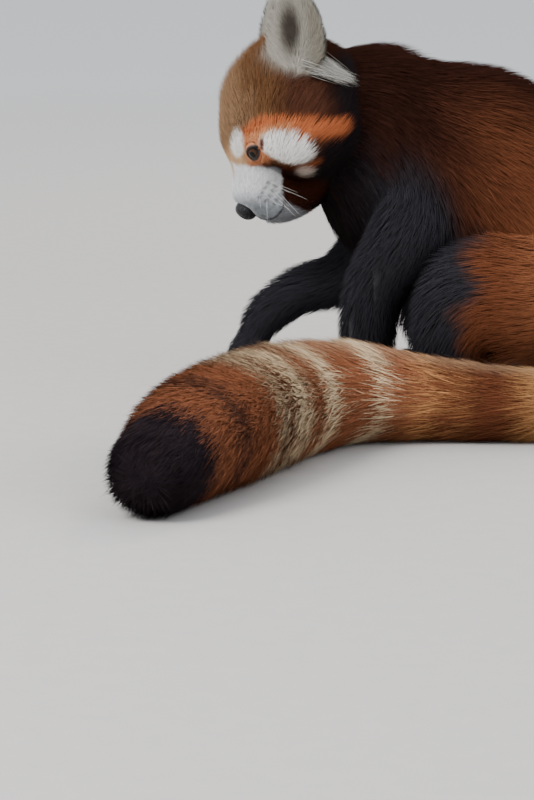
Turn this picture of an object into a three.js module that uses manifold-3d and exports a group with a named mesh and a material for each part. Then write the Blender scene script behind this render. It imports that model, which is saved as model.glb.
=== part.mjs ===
// A life-size red panda that sits on its haunches with its head bowed to the left and its ringed tail
// laid forward along its flank. Millimetres, +Z up. The head points to -X and the left side to -Y.
// Each named part is one closed body, and neighbours keep a gap of 0.3 mm.
import * as THREE from 'three';
import { mergeVertices } from 'three/addons/utils/BufferGeometryUtils.js';
import Module from 'manifold-3d';

const wasm = await Module();
wasm.setup();

// Driving sizes
const GAP = 0.3;
const LEFT = -1;
const RIGHT = 1;
const WORLD_Y = new THREE.Vector3(0, 1, 0);
const WORLD_Z = new THREE.Vector3(0, 0, 1);

const HEAD_AT = new THREE.Vector3(-80, -12, 227);
const HEAD_PITCH = THREE.MathUtils.degToRad(60);
const HEAD_YAW = THREE.MathUtils.degToRad(4);
const EYE_WAY = { f: 38, u: 15.5, l: 29.5 };
const EYE_RADIUS = 8;
const EYE_PROUD = 3.2;
const NOSE_AT = { f: 85, u: -3 };
const NOSE_HALF = [8, 7.5, 10.5];
const EAR_ROOT = { f: -28, u: 22, l: 41 };
const EAR_TIP = { f: -81, u: 54, l: 52 };
const EAR_WIDE = 52;
const EAR_THICK = 24;
const EAR_NARROW = 0.22;
const EAR_OPENING = { f: 0.31, u: 0.5, l: 0.8 };
const EAR_FRINGE = 7;
// The long tuft under the back of each ear: roots and lengths
const EAR_TUFT = [
  { f: -38, u: 14, l: 47, length: 42 },
  { f: -33, u: 16, l: 50, length: 34 },
  { f: -44, u: 12, l: 44, length: 32 },
];
// Rows of the cheek ruff: where they start from the middle of the head, and their spread in degrees
const CHEEK_ROWS = [
  { f: 22, count: 4, low: -48, high: 2, length: 28 },
  { f: 0, count: 4, low: -56, high: 10, length: 32 },
];

// The coat's outer surface from the neck down the spine to the rump: place, half width, half height
const SPINE = [
  { at: [-69, -8, 231], wide: 48, high: 57.5 },
  { at: [-38, -1, 215.5], wide: 54, high: 69.5 },
  { at: [-6, 0, 196], wide: 62, high: 82 },
  { at: [18, 0, 184], wide: 71, high: 89 },
  { at: [50, 0, 171], wide: 80, high: 93 },
  { at: [94, 0, 142], wide: 88, high: 91 },
  { at: [120, 0, 98], wide: 92, high: 80 },
  { at: [132, 0, 52], wide: 84, high: 62 },
];
const NECK_CUT = { at: new THREE.Vector3(-26, 0, 208), way: new THREE.Vector3(-0.94, 0, 0.34) };
const FORELEG_LEFT = [
  { at: [24, -40, 168], wide: 27, high: 46 },
  { at: [2, -54, 136], wide: 27, high: 36 },
  { at: [-22, -54, 96], wide: 25, high: 29 },
  { at: [-28, -54, 58], wide: 23, high: 26 },
  { at: [-30, -54, 30], wide: 22, high: 24 },
];
const FORELEG_RIGHT = [
  { at: [20, 40, 166], wide: 27, high: 44 },
  { at: [-10, 50, 130], wide: 27, high: 34 },
  { at: [-40, 50, 96], wide: 25, high: 28 },
  { at: [-78, 49, 82], wide: 23, high: 24 },
  { at: [-103, 48, 64], wide: 21, high: 22 },
  { at: [-116, 48, 44], wide: 19, high: 18 },
];
const HINDLEG = [
  { at: [128, 60, 92], wide: 40, high: 58 },
  { at: [92, 80, 92], wide: 37, high: 58 },
  { at: [52, 88, 90], wide: 34, high: 52 },
  { at: [34, 90, 62], wide: 29, high: 36 },
  { at: [42, 89, 32], wide: 25, high: 28 },
];
const TAIL = [
  { at: [146, -12, 52], r: 24 },
  { at: [186, -50, 38], r: 29 },
  { at: [180, -104, 31], r: 30 },
  { at: [140, -141, 28], r: 30 },
  { at: [89, -151, 27], r: 30 },
  { at: [21, -150, 30], r: 34 },
  { at: [-32, -158, 35], r: 41 },
  { at: [-72, -190, 38], r: 45 },
  { at: [-101, -238, 40], r: 47 },
  { at: [-127, -291, 40], r: 48 },
  { at: [-150, -344, 39], r: 46 },
  { at: [-168, -388, 32], r: 38 },
];
const TAIL_CUTS = [0.18, 0.36, 0.58, 0.8];
const TAIL_END = 1.15;
const TAIL_CORE = 0.6;
const TAIL_BRUSH = 0.3;

const TAIL_LOCK = { ring: 61, length: 88, wide: 47, thick: 11, sink: 6 };

const COLOURS = {
  rust: 0x8a4420,
  dark: 0x241a18,
  brown: 0x7d5a3a,
  cream: 0xe8dcc8,
  eye: 0x140c08,
  nose: 0x15151a,
};

// The head's own frame: f to the nose, u to the crown, l to the animal's left
const forward = new THREE.Vector3(
  -Math.cos(HEAD_PITCH) * Math.cos(HEAD_YAW),
  -Math.cos(HEAD_PITCH) * Math.sin(HEAD_YAW),
  -Math.sin(HEAD_PITCH),
);
const upward = new THREE.Vector3(
  -Math.sin(HEAD_PITCH) * Math.cos(HEAD_YAW),
  -Math.sin(HEAD_PITCH) * Math.sin(HEAD_YAW),
  Math.cos(HEAD_PITCH),
);
const leftward = new THREE.Vector3().crossVectors(upward, forward);

const headWay = (f, u, l) => new THREE.Vector3()
  .addScaledVector(forward, f)
  .addScaledVector(upward, u)
  .addScaledVector(leftward, l);
const headPlace = (f, u, l) => headWay(f, u, l).add(HEAD_AT);

// Turns a closed geometry into a solid whose faces point out.
function solidFrom(geometry) {
  const bare = new THREE.BufferGeometry();
  bare.setAttribute('position', geometry.getAttribute('position'));
  if (geometry.index) bare.setIndex(geometry.index);
  const merged = mergeVertices(bare, 1e-3);
  const kept = [];
  for (let i = 0; i < merged.index.count; i += 3) {
    const [a, b, c] = merged.index.array.slice(i, i + 3);
    if (a !== b && b !== c && a !== c) kept.push(a, b, c);
  }
  const vertProperties = new Float32Array(merged.attributes.position.array);
  const make = (order) => new wasm.Manifold(
    new wasm.Mesh({ numProp: 3, vertProperties, triVerts: new Uint32Array(order) }),
  );
  const solid = make(kept);
  return solid.volume() > 0 ? solid : make(kept.reverse());
}

// Joins solids and keeps the largest closed body.
function largest(solid) {
  return solid.decompose().reduce((a, b) => (b.volume() > a.volume() ? b : a));
}

function join(solids) {
  return solids.reduce((a, b) => a.add(b));
}

// A repeatable run of random numbers from 0 to 1
function seeded(seed) {
  let state = seed;
  return () => {
    state = (state * 16807) % 2147483647;
    return state / 2147483647;
  };
}

const aboveFloor = (solid) => solid.trimByPlane([0, 0, 1], 0);

// The section of a swept body at t along it: its centre, the way along it and its two half sizes
function sectionOf(stations, across) {
  const path = new THREE.CatmullRomCurve3(stations.map((s) => new THREE.Vector3(...s.at)));
  const sizes = new THREE.CatmullRomCurve3(
    stations.map((s) => new THREE.Vector3(s.wide ?? s.r, s.high ?? s.r, 0)),
  );
  return (t) => {
    const centre = path.getPoint(t);
    const tangent = path.getTangent(t);
    const side = across.clone().addScaledVector(tangent, -across.dot(tangent)).normalize();
    return { centre, tangent, side, normal: new THREE.Vector3().crossVectors(tangent, side), size: sizes.getPoint(t) };
  };
}

// A body swept through stations with rounded ends. `across` is the way that `wide` is measured.
function swept(stations, { across = WORLD_Y, around, along, caps = 3, ends, grow = 0, scale = 1 }) {
  const section = sectionOf(stations, across);
  const rows = along + 2 * caps;
  const geometry = new THREE.SphereGeometry(1, around, rows);
  const position = geometry.getAttribute('position');
  for (let row = 0; row <= rows; row += 1) {
    const inStart = row < caps;
    const inEnd = row > rows - caps;
    const { centre, tangent, side, normal, size } = section(THREE.MathUtils.clamp((row - caps) / along, 0, 1));
    size.multiplyScalar(scale).addScalar(grow);
    let round = 1;
    if (inStart || inEnd) {
      const angle = ((inStart ? row : rows - row) / caps) * (Math.PI / 2);
      round = Math.sin(angle);
      const reach = (inStart ? -ends[0] : ends[1]) * Math.min(size.x, size.y) * Math.cos(angle);
      centre.addScaledVector(tangent, reach);
    }
    for (let column = 0; column <= around; column += 1) {
      const turn = ((column % around) / around) * Math.PI * 2;
      const place = centre.clone()
        .addScaledVector(side, Math.cos(turn) * size.x * round)
        .addScaledVector(normal, Math.sin(turn) * size.y * round);
      position.setXYZ(row * (around + 1) + column, place.x, place.y, place.z);
    }
  }
  return solidFrom(geometry);
}

// An ellipsoid with its half sizes along three ways. `narrow` thins it towards the end of its second way.
function ellipsoid(centre, ways, halves, around = 12, rows = 8, narrow = 0) {
  const geometry = new THREE.SphereGeometry(1, around, rows);
  const position = geometry.getAttribute('position');
  for (let i = 0; i < position.count; i += 1) {
    const across = position.getX(i) * (1 - narrow * position.getY(i));
    const place = centre.clone()
      .addScaledVector(ways[0], across * halves[0])
      .addScaledVector(ways[1], position.getY(i) * halves[1])
      .addScaledVector(ways[2], position.getZ(i) * halves[2]);
    position.setXYZ(i, place.x, place.y, place.z);
  }
  return solidFrom(geometry);
}

// A thin round bar along points, closed at its ends.
function bar(points, radius, sides, steps) {
  const outline = new THREE.Shape();
  for (let i = 0; i < sides; i += 1) {
    const turn = (i / sides) * Math.PI * 2;
    const at = [Math.cos(turn) * radius, Math.sin(turn) * radius];
    if (i) outline.lineTo(...at);
    else outline.moveTo(...at);
  }
  outline.closePath();
  const path = new THREE.CatmullRomCurve3(points);
  return solidFrom(new THREE.ExtrudeGeometry(outline, { steps, bevelEnabled: false, extrudePath: path }));
}

// The head's round masses in its own frame: centre and half sizes along f, u and l
const HEAD_MASSES = [
  { at: [-4, 5, 0], half: [53, 53, 54] },
  { at: [14, 13, 0], half: [47, 42, 33] },
  { at: [12, -12, 33], half: [36, 34, 31] },
  { at: [12, -12, -33], half: [36, 34, 31] },
  { at: [52, -1, 0], half: [33.5, 21, 23.5] },
  { at: [53, -20, 0], half: [31, 19, 21] },
  { at: [38, -31, 0], half: [32, 20, 26] },
];
const HEAD_BLEND = 13;

function massDistance(point, mass) {
  const scaled = [0, 1, 2].map((i) => (point[i] - mass.at[i]) / mass.half[i]);
  const inner = Math.hypot(...scaled);
  const slope = Math.hypot(...scaled.map((v, i) => v / mass.half[i]));
  return slope > 0 ? (inner * (inner - 1)) / slope : -Math.min(...mass.half);
}

function headDistance(point) {
  return HEAD_MASSES.reduce((sum, mass) => {
    const d = massDistance(point, mass);
    if (sum === null) return d;
    const h = THREE.MathUtils.clamp(0.5 + (0.5 * (d - sum)) / HEAD_BLEND, 0, 1);
    return d * (1 - h) + sum * h - HEAD_BLEND * h * (1 - h);
  }, null);
}

// How far the head's surface lies from its centre along a way in its own frame
function headReach(way) {
  const length = Math.hypot(...way);
  let near = 0;
  let far = 130;
  for (let i = 0; i < 30; i += 1) {
    const middle = (near + far) / 2;
    if (headDistance(way.map((v) => (v / length) * middle)) < 0) near = middle;
    else far = middle;
  }
  return near;
}

function onHead(way, lift = 0) {
  const length = Math.hypot(...way);
  return headPlace(...way.map((v) => (v / length) * (headReach(way) + lift)));
}

function headBall(grow = 0, around = 26, rows = 20) {
  const geometry = new THREE.SphereGeometry(1, around, rows);
  const position = geometry.getAttribute('position');
  for (let i = 0; i < position.count; i += 1) {
    const way = [position.getY(i), position.getX(i), position.getZ(i)];
    const place = onHead(way, grow);
    position.setXYZ(i, place.x, place.y, place.z);
  }
  return solidFrom(geometry);
}

const spineBody = (grow = 0) => aboveFloor(swept(SPINE, {
  around: 24, along: 18, caps: 3, ends: [0.3, 0.95], grow,
}));

// The spine's two sides of the cut between neck and torso, each held half a gap back from it
function partedSpine() {
  const { at, way } = NECK_CUT;
  const offset = way.dot(at) / way.length();
  const unit = way.clone().normalize();
  const whole = spineBody().add(chestFringe());
  return {
    neck: whole.trimByPlane([unit.x, unit.y, unit.z], offset + GAP / 2),
    torso: whole.trimByPlane([-unit.x, -unit.y, -unit.z], -offset + GAP / 2),
  };
}

// A tapered blade along a route, which gives the place, the way out and the side at u from 0 to 1
function blade(route, { wide, thick, sides = 4, steps = 3, grow = 0 }) {
  const geometry = new THREE.ConeGeometry(1, 1, sides, steps);
  const position = geometry.getAttribute('position');
  for (let i = 0; i < position.count; i += 1) {
    const u = position.getY(i) + 0.5;
    const ring = u < 1 ? 1 / (1 - u) : 0;
    const full = 1 - u ** 2.2;
    const { at, out, side } = route(u);
    at.addScaledVector(out, position.getZ(i) * ring * (full * thick * 0.5 + grow))
      .addScaledVector(side, position.getX(i) * ring * (full * wide * 0.5 + grow));
    position.setXYZ(i, at.x, at.y, at.z);
  }
  return solidFrom(geometry);
}

// A lock or claw that leaves `root` from below the surface, rises by `lift` and lies along `lie`.
function taper(root, out, lie, { length, sink = 2, lift = 0, ...sizes }) {
  const side = new THREE.Vector3().crossVectors(lie, out).normalize();
  const rise = (u) => (lift + sink) * (1 - (1 - u) ** 2) - sink;
  const route = (u) => ({
    at: root.clone().addScaledVector(lie, length * u).addScaledVector(out, rise(u)), out, side,
  });
  return blade(route, sizes);
}

// A foot with five toes and claws. It points along `ahead`.
function foot(heel, ahead, length, wide, high) {
  const across = new THREE.Vector3().crossVectors(WORLD_Z, ahead).normalize();
  const top = new THREE.Vector3().crossVectors(ahead, across).normalize();
  const ways = [across, ahead, top];
  const middle = heel.clone().addScaledVector(ahead, length * 0.42);
  const pieces = [ellipsoid(middle, ways, [wide * 0.46, length * 0.5, high * 0.52], 11, 7)];
  const claw = { length: 13, wide: 5, thick: 6.5, sink: 0, lift: -high * 0.2, sides: 4, steps: 2 };
  for (let toe = 0; toe < 5; toe += 1) {
    const spread = (toe - 2) / 2;
    const root = heel.clone()
      .addScaledVector(ahead, length * (0.84 - 0.1 * spread * spread))
      .addScaledVector(across, spread * wide * 0.37)
      .addScaledVector(top, -high * 0.14);
    pieces.push(ellipsoid(root, ways, [wide * 0.14, length * 0.19, high * 0.32], 6, 4));
    pieces.push(taper(root.clone().addScaledVector(ahead, length * 0.1), top, ahead, claw));
  }
  return join(pieces);
}

function limb(stations, side, grow) {
  const placed = stations.map((s) => ({ ...s, at: [s.at[0], s.at[1] * side, s.at[2]] }));
  return swept(placed, { around: 12, along: 8, caps: 2, ends: [0.6, 0.6], grow });
}

function foreleg(stations, heel, ahead) {
  return aboveFloor(limb(stations, 1, 0).add(foot(heel, ahead, 62, 46, 30)));
}

function hindleg(side, grow = 0) {
  const heel = new THREE.Vector3(56, 89 * side, 15);
  return aboveFloor(limb(HINDLEG, side, grow).add(foot(heel, new THREE.Vector3(-1, 0, 0), 84, 46, 32)));
}

function eyePlace(side) {
  const way = [EYE_WAY.f, EYE_WAY.u, EYE_WAY.l * side];
  return { at: onHead(way, EYE_PROUD - EYE_RADIUS), out: headWay(...way).normalize() };
}

function eyeBall(side, grow = 0) {
  const r = EYE_RADIUS + grow;
  return ellipsoid(eyePlace(side).at, [leftward, forward, upward], [r, r, r], 12, 7);
}

// The two lids of one eye, as a raised almond rim
function lids(side) {
  const { at, out } = eyePlace(side);
  const along = headWay(-0.35, 0.35, side).projectOnPlane(out).normalize();
  const over = new THREE.Vector3().crossVectors(out, along);
  const geometry = new THREE.TorusGeometry(1, 0.26, 4, 11);
  const position = geometry.getAttribute('position');
  for (let i = 0; i < position.count; i += 1) {
    const place = at.clone()
      .addScaledVector(out, EYE_RADIUS * 0.5 + position.getZ(i) * 7)
      .addScaledVector(along, position.getX(i) * 7.4)
      .addScaledVector(over, position.getY(i) * 5.9);
    position.setXYZ(i, place.x, place.y, place.z);
  }
  return solidFrom(geometry);
}

function nosePad(grow = 0) {
  const at = headPlace(NOSE_AT.f, NOSE_AT.u, 0);
  const halves = [NOSE_HALF[2], NOSE_HALF[0], NOSE_HALF[1]].map((half) => half + grow);
  const pad = ellipsoid(at, [leftward, forward, upward], halves, 12, 7);
  if (grow) return pad;
  return [LEFT, RIGHT].reduce((body, side) => {
    const hole = headPlace(NOSE_AT.f + 7, NOSE_AT.u - 1, 6 * side);
    return body.subtract(ellipsoid(hole, [leftward, forward, upward], [2.6, 4, 2], 6, 4));
  }, pad);
}

// The line of the mouth, from corner to corner under the nose
const MOUTH = [
  [57, -20, 22], [67, -24, 17], [76, -22, 10], [82, -15, 0],
  [76, -22, -10], [67, -24, -17], [57, -20, -22],
];

function mouthBar(lift, radius) {
  return bar(MOUTH.map((way) => onHead(way, lift)), radius, 4, 10);
}

// The ruff of one cheek: rows of locks that lie back and down from the face
function ruff(side, random) {
  const locks = [];
  CHEEK_ROWS.forEach(({ f, count, low, high, length }) => {
    for (let i = 0; i < count; i += 1) {
      const turn = THREE.MathUtils.degToRad(low + ((high - low) * (i + 0.3 * random())) / (count - 1));
      const way = [f, 60 * Math.sin(turn), 60 * Math.cos(turn) * side];
      const out = headWay(...way).normalize();
      const lie = headWay(-1, -0.15 + 0.5 * Math.sin(turn), 0.35 * side).projectOnPlane(out).normalize();
      locks.push(taper(onHead(way, -2), out, lie, {
        length: length * (0.9 + 0.25 * random()), wide: 26, thick: 9, sink: 3, lift: 7, steps: 2,
      }));
    }
  });
  return join(locks);
}

// One ear: a broad leaf-shaped cup, narrower at its tip, that opens outwards, with fur round its rim
function ear(side, random) {
  const root = headPlace(EAR_ROOT.f, EAR_ROOT.u, EAR_ROOT.l * side);
  const tip = headPlace(EAR_TIP.f, EAR_TIP.u, EAR_TIP.l * side);
  const rise = tip.clone().sub(root);
  const length = rise.length();
  rise.normalize();
  const opening = headWay(EAR_OPENING.f, EAR_OPENING.u, EAR_OPENING.l * side);
  opening.addScaledVector(rise, -opening.dot(rise)).normalize();
  const across = new THREE.Vector3().crossVectors(rise, opening).multiplyScalar(side);
  const middle = root.clone().addScaledVector(rise, length * 0.42);
  const inside = middle.clone().addScaledVector(opening, EAR_THICK * 0.42).addScaledVector(rise, 1);
  const tall = length * 0.56;
  const leaf = (centre, rim, around, rows) => ellipsoid(
    centre,
    [across, rise, opening],
    [EAR_WIDE / 2 - rim, tall - rim, EAR_THICK / 2 - rim * 0.2],
    around,
    rows,
    EAR_NARROW,
  );
  const pieces = [leaf(middle, 0, 12, 8).subtract(leaf(inside, 5, 10, 6))];
  for (let i = 0; i < EAR_FRINGE; i += 1) {
    const turn = THREE.MathUtils.degToRad(-20 + (220 * (i + 0.3 * (random() - 0.5))) / (EAR_FRINGE - 1));
    const up = Math.sin(turn);
    const aside = Math.cos(turn) * (1 - EAR_NARROW * up);
    const rim = middle.clone()
      .addScaledVector(across, (aside * EAR_WIDE) / 2 - 3 * aside)
      .addScaledVector(rise, up * (tall - 3));
    const lie = across.clone().multiplyScalar(0.6 * Math.cos(turn)).addScaledVector(rise, up + 0.6).normalize();
    pieces.push(taper(rim, opening, lie, { length: 11, wide: 17, thick: 6, sink: -1, lift: 2, steps: 2 }));
  }
  EAR_TUFT.forEach(({ f, u, l, length: long }) => {
    const from = headPlace(f, u, l * side);
    const lie = headWay(-0.3, -0.93, 0.12 * side).normalize();
    pieces.push(taper(from, opening, lie, { length: long, wide: 11, thick: 6, sink: 0, lift: 3, steps: 2 }));
  });
  return join(pieces);
}

// The fringe down the chest, from the throat to between the forelegs
function chestFringe(grow = 0) {
  const random = seeded(5);
  const section = sectionOf(SPINE, WORLD_Y);
  const locks = [];
  for (let row = 0; row < 3; row += 1) {
    for (let i = -1; i <= 1; i += 1) {
      const { centre, tangent, side, normal, size } = section(0.24 + 0.09 * row);
      const turn = THREE.MathUtils.degToRad(-90 + 17 * (i + 0.5 * (row % 2)));
      const out = side.clone().multiplyScalar(Math.cos(turn)).addScaledVector(normal, Math.sin(turn));
      const root = centre.clone()
        .addScaledVector(side, Math.cos(turn) * size.x)
        .addScaledVector(normal, Math.sin(turn) * size.y);
      locks.push(taper(root, out, tangent, {
        length: 46 + 8 * random(), wide: 20, thick: 7, sink: 3, lift: 8, steps: 2, grow,
      }));
    }
  }
  return join(locks);
}

// The tail's section at a distance along it, also past its end, where it rounds off
const tailPath = new THREE.CatmullRomCurve3(TAIL.map((s) => new THREE.Vector3(...s.at)));
const tailLength = tailPath.getLength();
const tailSection = sectionOf(TAIL, WORLD_Z);

function tailAt(distance) {
  const past = Math.max(0, distance - tailLength);
  const found = tailSection(tailPath.getUtoTmapping(Math.min(1, distance / tailLength)));
  const reach = found.size.x * TAIL_END;
  const round = Math.sqrt(Math.max(TAIL_BRUSH ** 2, 1 - (past / reach) ** 2));
  found.centre.addScaledVector(found.tangent, Math.min(past, reach));
  return { ...found, radius: found.size.x * round };
}

// A solid along the tail from one distance to another, with `shareAt` giving its part of the full radius
function tailTube(from, to, shareAt, along, grow = 0) {
  const around = 10;
  const rows = along + 2;
  const geometry = new THREE.SphereGeometry(1, around, rows);
  const position = geometry.getAttribute('position');
  for (let row = 0; row <= rows; row += 1) {
    const u = THREE.MathUtils.clamp((row - 1) / along, 0, 1);
    const { centre, side, normal, radius } = tailAt(from + (to - from) * u);
    const reach = row === 0 || row === rows ? 0 : radius * shareAt(u) + grow;
    for (let column = 0; column <= around; column += 1) {
      const turn = ((column % around) / around) * Math.PI * 2;
      const place = centre.clone()
        .addScaledVector(side, Math.cos(turn) * reach)
        .addScaledVector(normal, Math.sin(turn) * reach);
      position.setXYZ(row * (around + 1) + column, place.x, place.y, place.z);
    }
  }
  return solidFrom(geometry);
}

// How a tail lock rises from the core, as a share of the tail's radius
const tailRise = (u) => TAIL_CORE + (1 - TAIL_CORE) * (1 - (1 - u) ** 2);

// One lock of the tail, rooted in the core and lying back to the tail's outer surface
function tailLock(start, turn, length, wide) {
  const { thick, sink } = TAIL_LOCK;
  return blade((u) => {
    const { centre, side, normal, radius } = tailAt(start + length * u);
    const out = side.clone().multiplyScalar(Math.cos(turn)).addScaledVector(normal, Math.sin(turn));
    const spread = side.clone().multiplyScalar(-Math.sin(turn)).addScaledVector(normal, Math.cos(turn));
    return { at: centre.addScaledVector(out, radius * tailRise(u) - sink * (1 - u)), out, side: spread };
  }, { wide, thick, steps: 2 });
}

// The tail in lengths, each a core with rings of locks. Where two lengths meet, the cut follows the locks'
// rise, so that those before it lie over those after it.
function tailLengths(cut) {
  const random = seeded(7);
  const { ring, length, wide } = TAIL_LOCK;
  const ends = [0, ...TAIL_CUTS.map((t) => tailLength * t), tailLength + tailAt(tailLength).size.x * TAIL_END];
  const coreShare = () => TAIL_CORE;
  const bodies = ends.slice(1).map((to, i) => (
    tailTube(ends[i] + GAP / 2, to - GAP / 2, coreShare, i < TAIL_CUTS.length ? 5 : 7)
  ));
  for (let start = 10, row = 0; start < tailLength; start += ring, row += 1) {
    const around = 2 * Math.PI * tailAt(start + length / 3).radius;
    const count = Math.round(around / wide);
    const home = ends.findIndex((end) => start < end) - 1;
    for (let i = 0; i < count; i += 1) {
      const turn = ((i + 0.5 * (row % 2) + 0.3 * (random() - 0.5)) / count) * Math.PI * 2;
      const lock = tailLock(start, turn, length * (0.92 + 0.16 * random()), (1.04 * around) / count);
      bodies[home] = bodies[home].add(lock);
    }
  }
  return bodies.map((body, i) => {
    let solid = body;
    if (i < TAIL_CUTS.length) {
      solid = solid.subtract(tailTube(ends[i + 1], ends[i + 1] + length * 1.1, tailRise, 5, GAP / 2));
    }
    if (i > 0) {
      const around = tailTube(ends[i] - length / 2, ends[i] + length, () => 1.5, 6);
      const inside = tailTube(ends[i] - 1, ends[i] + length * 1.1 - 1, tailRise, 5, -GAP / 2);
      solid = solid.subtract(around.subtract(inside));
    }
    return aboveFloor(solid).subtract(cut);
  });
}

const parts = [];

function addPart(name, solid, colour, roughness = 0.85) {
  parts.push({ name, solid: largest(solid), colour, roughness });
}

function buildParts() {
  const headCut = headBall(GAP);
  const spineCut = spineBody(GAP);
  const spine = partedSpine();
  const hindCut = hindleg(LEFT, GAP).add(hindleg(RIGHT, GAP));
  const bodyCut = spineCut.add(headCut).add(chestFringe(GAP));

  const eyes = eyeBall(LEFT, GAP).add(eyeBall(RIGHT, GAP));
  const random = seeded(11);
  const ruffs = ruff(LEFT, random).add(ruff(RIGHT, random)).subtract(spineCut);
  const head = headBall().add(ruffs)
    .add(lids(LEFT)).add(lids(RIGHT))
    .add(mouthBar(-0.9, 2.2))
    .subtract(mouthBar(0.6, 1.1))
    .subtract(eyes)
    .subtract(nosePad(GAP));

  addPart('torso', spine.torso.subtract(headCut), COLOURS.rust);
  addPart('neck', spine.neck.subtract(headCut), COLOURS.rust);
  addPart('head', head, COLOURS.brown);
  addPart('nose', nosePad(), COLOURS.nose, 0.4);
  addPart('eye_left', eyeBall(1), COLOURS.eye, 0.1);
  addPart('eye_right', eyeBall(-1), COLOURS.eye, 0.1);
  addPart('ear_left', ear(1, random).subtract(bodyCut), COLOURS.cream);
  addPart('ear_right', ear(-1, random).subtract(bodyCut), COLOURS.cream);

  const ahead = new THREE.Vector3(-1, 0, 0);
  const down = new THREE.Vector3(-0.5, 0, -0.87).normalize();
  const left = foreleg(FORELEG_LEFT, new THREE.Vector3(-22, -54, 14), ahead);
  const right = foreleg(FORELEG_RIGHT, new THREE.Vector3(-106, 48, 58), down);
  addPart('foreleg_left', left.subtract(bodyCut).subtract(hindCut), COLOURS.dark);
  addPart('foreleg_right', right.subtract(bodyCut).subtract(hindCut), COLOURS.dark);
  addPart('hindleg_left', hindleg(LEFT).subtract(spineCut), COLOURS.rust);
  addPart('hindleg_right', hindleg(RIGHT).subtract(spineCut), COLOURS.rust);

  tailLengths(spineCut.add(hindCut)).forEach((solid, i, all) => {
    addPart(`tail_${i + 1}`, solid, i < all.length - 1 ? COLOURS.cream : COLOURS.dark);
  });
}

function meshOf({ name, solid, colour, roughness }) {
  const { numProp, numVert, vertProperties, triVerts } = solid.getMesh();
  const places = new Float32Array(numVert * 3);
  for (let i = 0; i < numVert; i += 1) {
    places.set(vertProperties.subarray(i * numProp, i * numProp + 3), i * 3);
  }
  const geometry = new THREE.BufferGeometry();
  geometry.setAttribute('position', new THREE.BufferAttribute(places, 3));
  geometry.setIndex(new THREE.BufferAttribute(triVerts, 1));
  geometry.computeVertexNormals();
  const material = new THREE.MeshStandardMaterial({ color: colour, roughness, metalness: 0 });
  const mesh = new THREE.Mesh(geometry, material);
  mesh.name = name;
  return mesh;
}

buildParts();
const panda = new THREE.Group();
parts.forEach((part) => panda.add(meshOf(part)));

// The origin is on the floor, under the middle of the whole.
const box = new THREE.Box3().setFromObject(panda);
const centre = box.getCenter(new THREE.Vector3());
panda.position.set(-centre.x, -centre.y, 0);

export default panda;
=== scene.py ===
# The looks of a life-size red panda that sits on its haunches with its ringed tail laid forward.
# Sizes are in millimetres in the animal's own frame, and go into the frame's metres at the end.
import math

import bmesh
import bpy
import numpy as np
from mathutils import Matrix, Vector


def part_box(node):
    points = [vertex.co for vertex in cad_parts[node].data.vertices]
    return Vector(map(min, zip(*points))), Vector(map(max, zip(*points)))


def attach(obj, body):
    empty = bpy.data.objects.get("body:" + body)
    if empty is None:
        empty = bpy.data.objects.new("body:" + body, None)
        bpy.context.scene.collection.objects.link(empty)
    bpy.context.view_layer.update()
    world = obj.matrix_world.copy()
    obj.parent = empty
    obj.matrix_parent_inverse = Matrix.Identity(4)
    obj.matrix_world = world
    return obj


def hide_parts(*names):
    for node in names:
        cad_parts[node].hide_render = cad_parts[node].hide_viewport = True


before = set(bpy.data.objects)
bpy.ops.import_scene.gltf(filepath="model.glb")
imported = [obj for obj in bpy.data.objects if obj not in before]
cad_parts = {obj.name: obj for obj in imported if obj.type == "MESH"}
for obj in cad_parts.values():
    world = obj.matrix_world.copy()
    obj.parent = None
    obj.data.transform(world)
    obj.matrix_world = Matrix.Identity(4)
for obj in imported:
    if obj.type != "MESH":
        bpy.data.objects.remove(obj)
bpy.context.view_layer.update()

LEFT = 1
RIGHT = -1

# The head: where it is, how it is turned, and its round masses along its nose, crown and left side
HEAD_AT = np.array([-80.0, -12.0, 227.0])
HEAD_PITCH = math.radians(60)
HEAD_YAW = math.radians(4)
HEAD_MASSES = [
    ((-4, 5, 0), (53, 53, 54)),
    ((14, 13, 0), (47, 42, 33)),
    ((12, -12, 33), (36, 34, 31)),
    ((12, -12, -33), (36, 34, 31)),
    ((52, -1, 0), (33.5, 21, 23.5)),
    ((53, -20, 0), (31, 19, 21)),
    ((38, -31, 0), (32, 20, 26)),
]
HEAD_BLEND = 13
EYE_WAY = (38, 15.5, 29.5)
EYE_AXIS = (0.6, 0.3, 0.74)
EYE_RADIUS = 8.0
EYE_PROUD = 3.2
NOSE_AT = (85, -3, 0)
NOSE_HALF = (8, 7.5, 10.5)
MOUTH = [
    (57, -20, 22), (67, -24, 17), (76, -22, 10), (82, -15, 0), (76, -22, -10), (67, -24, -17), (57, -20, -22),
]
EAR_ROOT = (-28, 22, 41)
EAR_TIP = (-81, 54, 52)
EAR_WIDE = 52
EAR_THICK = 24
EAR_NARROW = 0.22
EAR_OPENING = (0.31, 0.5, 0.8)

# The body's sections: place, half width and half height of the coat's outer surface
SPINE = [
    (-69, -8, 231, 48, 57.5), (-38, -1, 215.5, 54, 69.5), (-6, 0, 196, 62, 82), (18, 0, 184, 71, 89),
    (50, 0, 171, 80, 93), (94, 0, 142, 88, 91), (120, 0, 98, 92, 80), (132, 0, 52, 84, 62),
]
FORELEG_LEFT = [
    (24, -40, 168, 27, 46), (2, -54, 136, 27, 36), (-22, -54, 96, 25, 29), (-28, -54, 58, 23, 26),
    (-30, -54, 30, 22, 24),
]
FORELEG_RIGHT = [
    (20, 40, 166, 27, 44), (-10, 50, 130, 27, 34), (-40, 50, 96, 25, 28), (-78, 49, 82, 23, 24),
    (-103, 48, 64, 21, 22), (-116, 48, 44, 19, 18),
]
HINDLEG = [
    (128, 60, 92, 40, 58), (92, 80, 92, 37, 58), (52, 88, 90, 34, 52), (34, 90, 62, 29, 36),
    (42, 89, 32, 25, 28),
]
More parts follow.
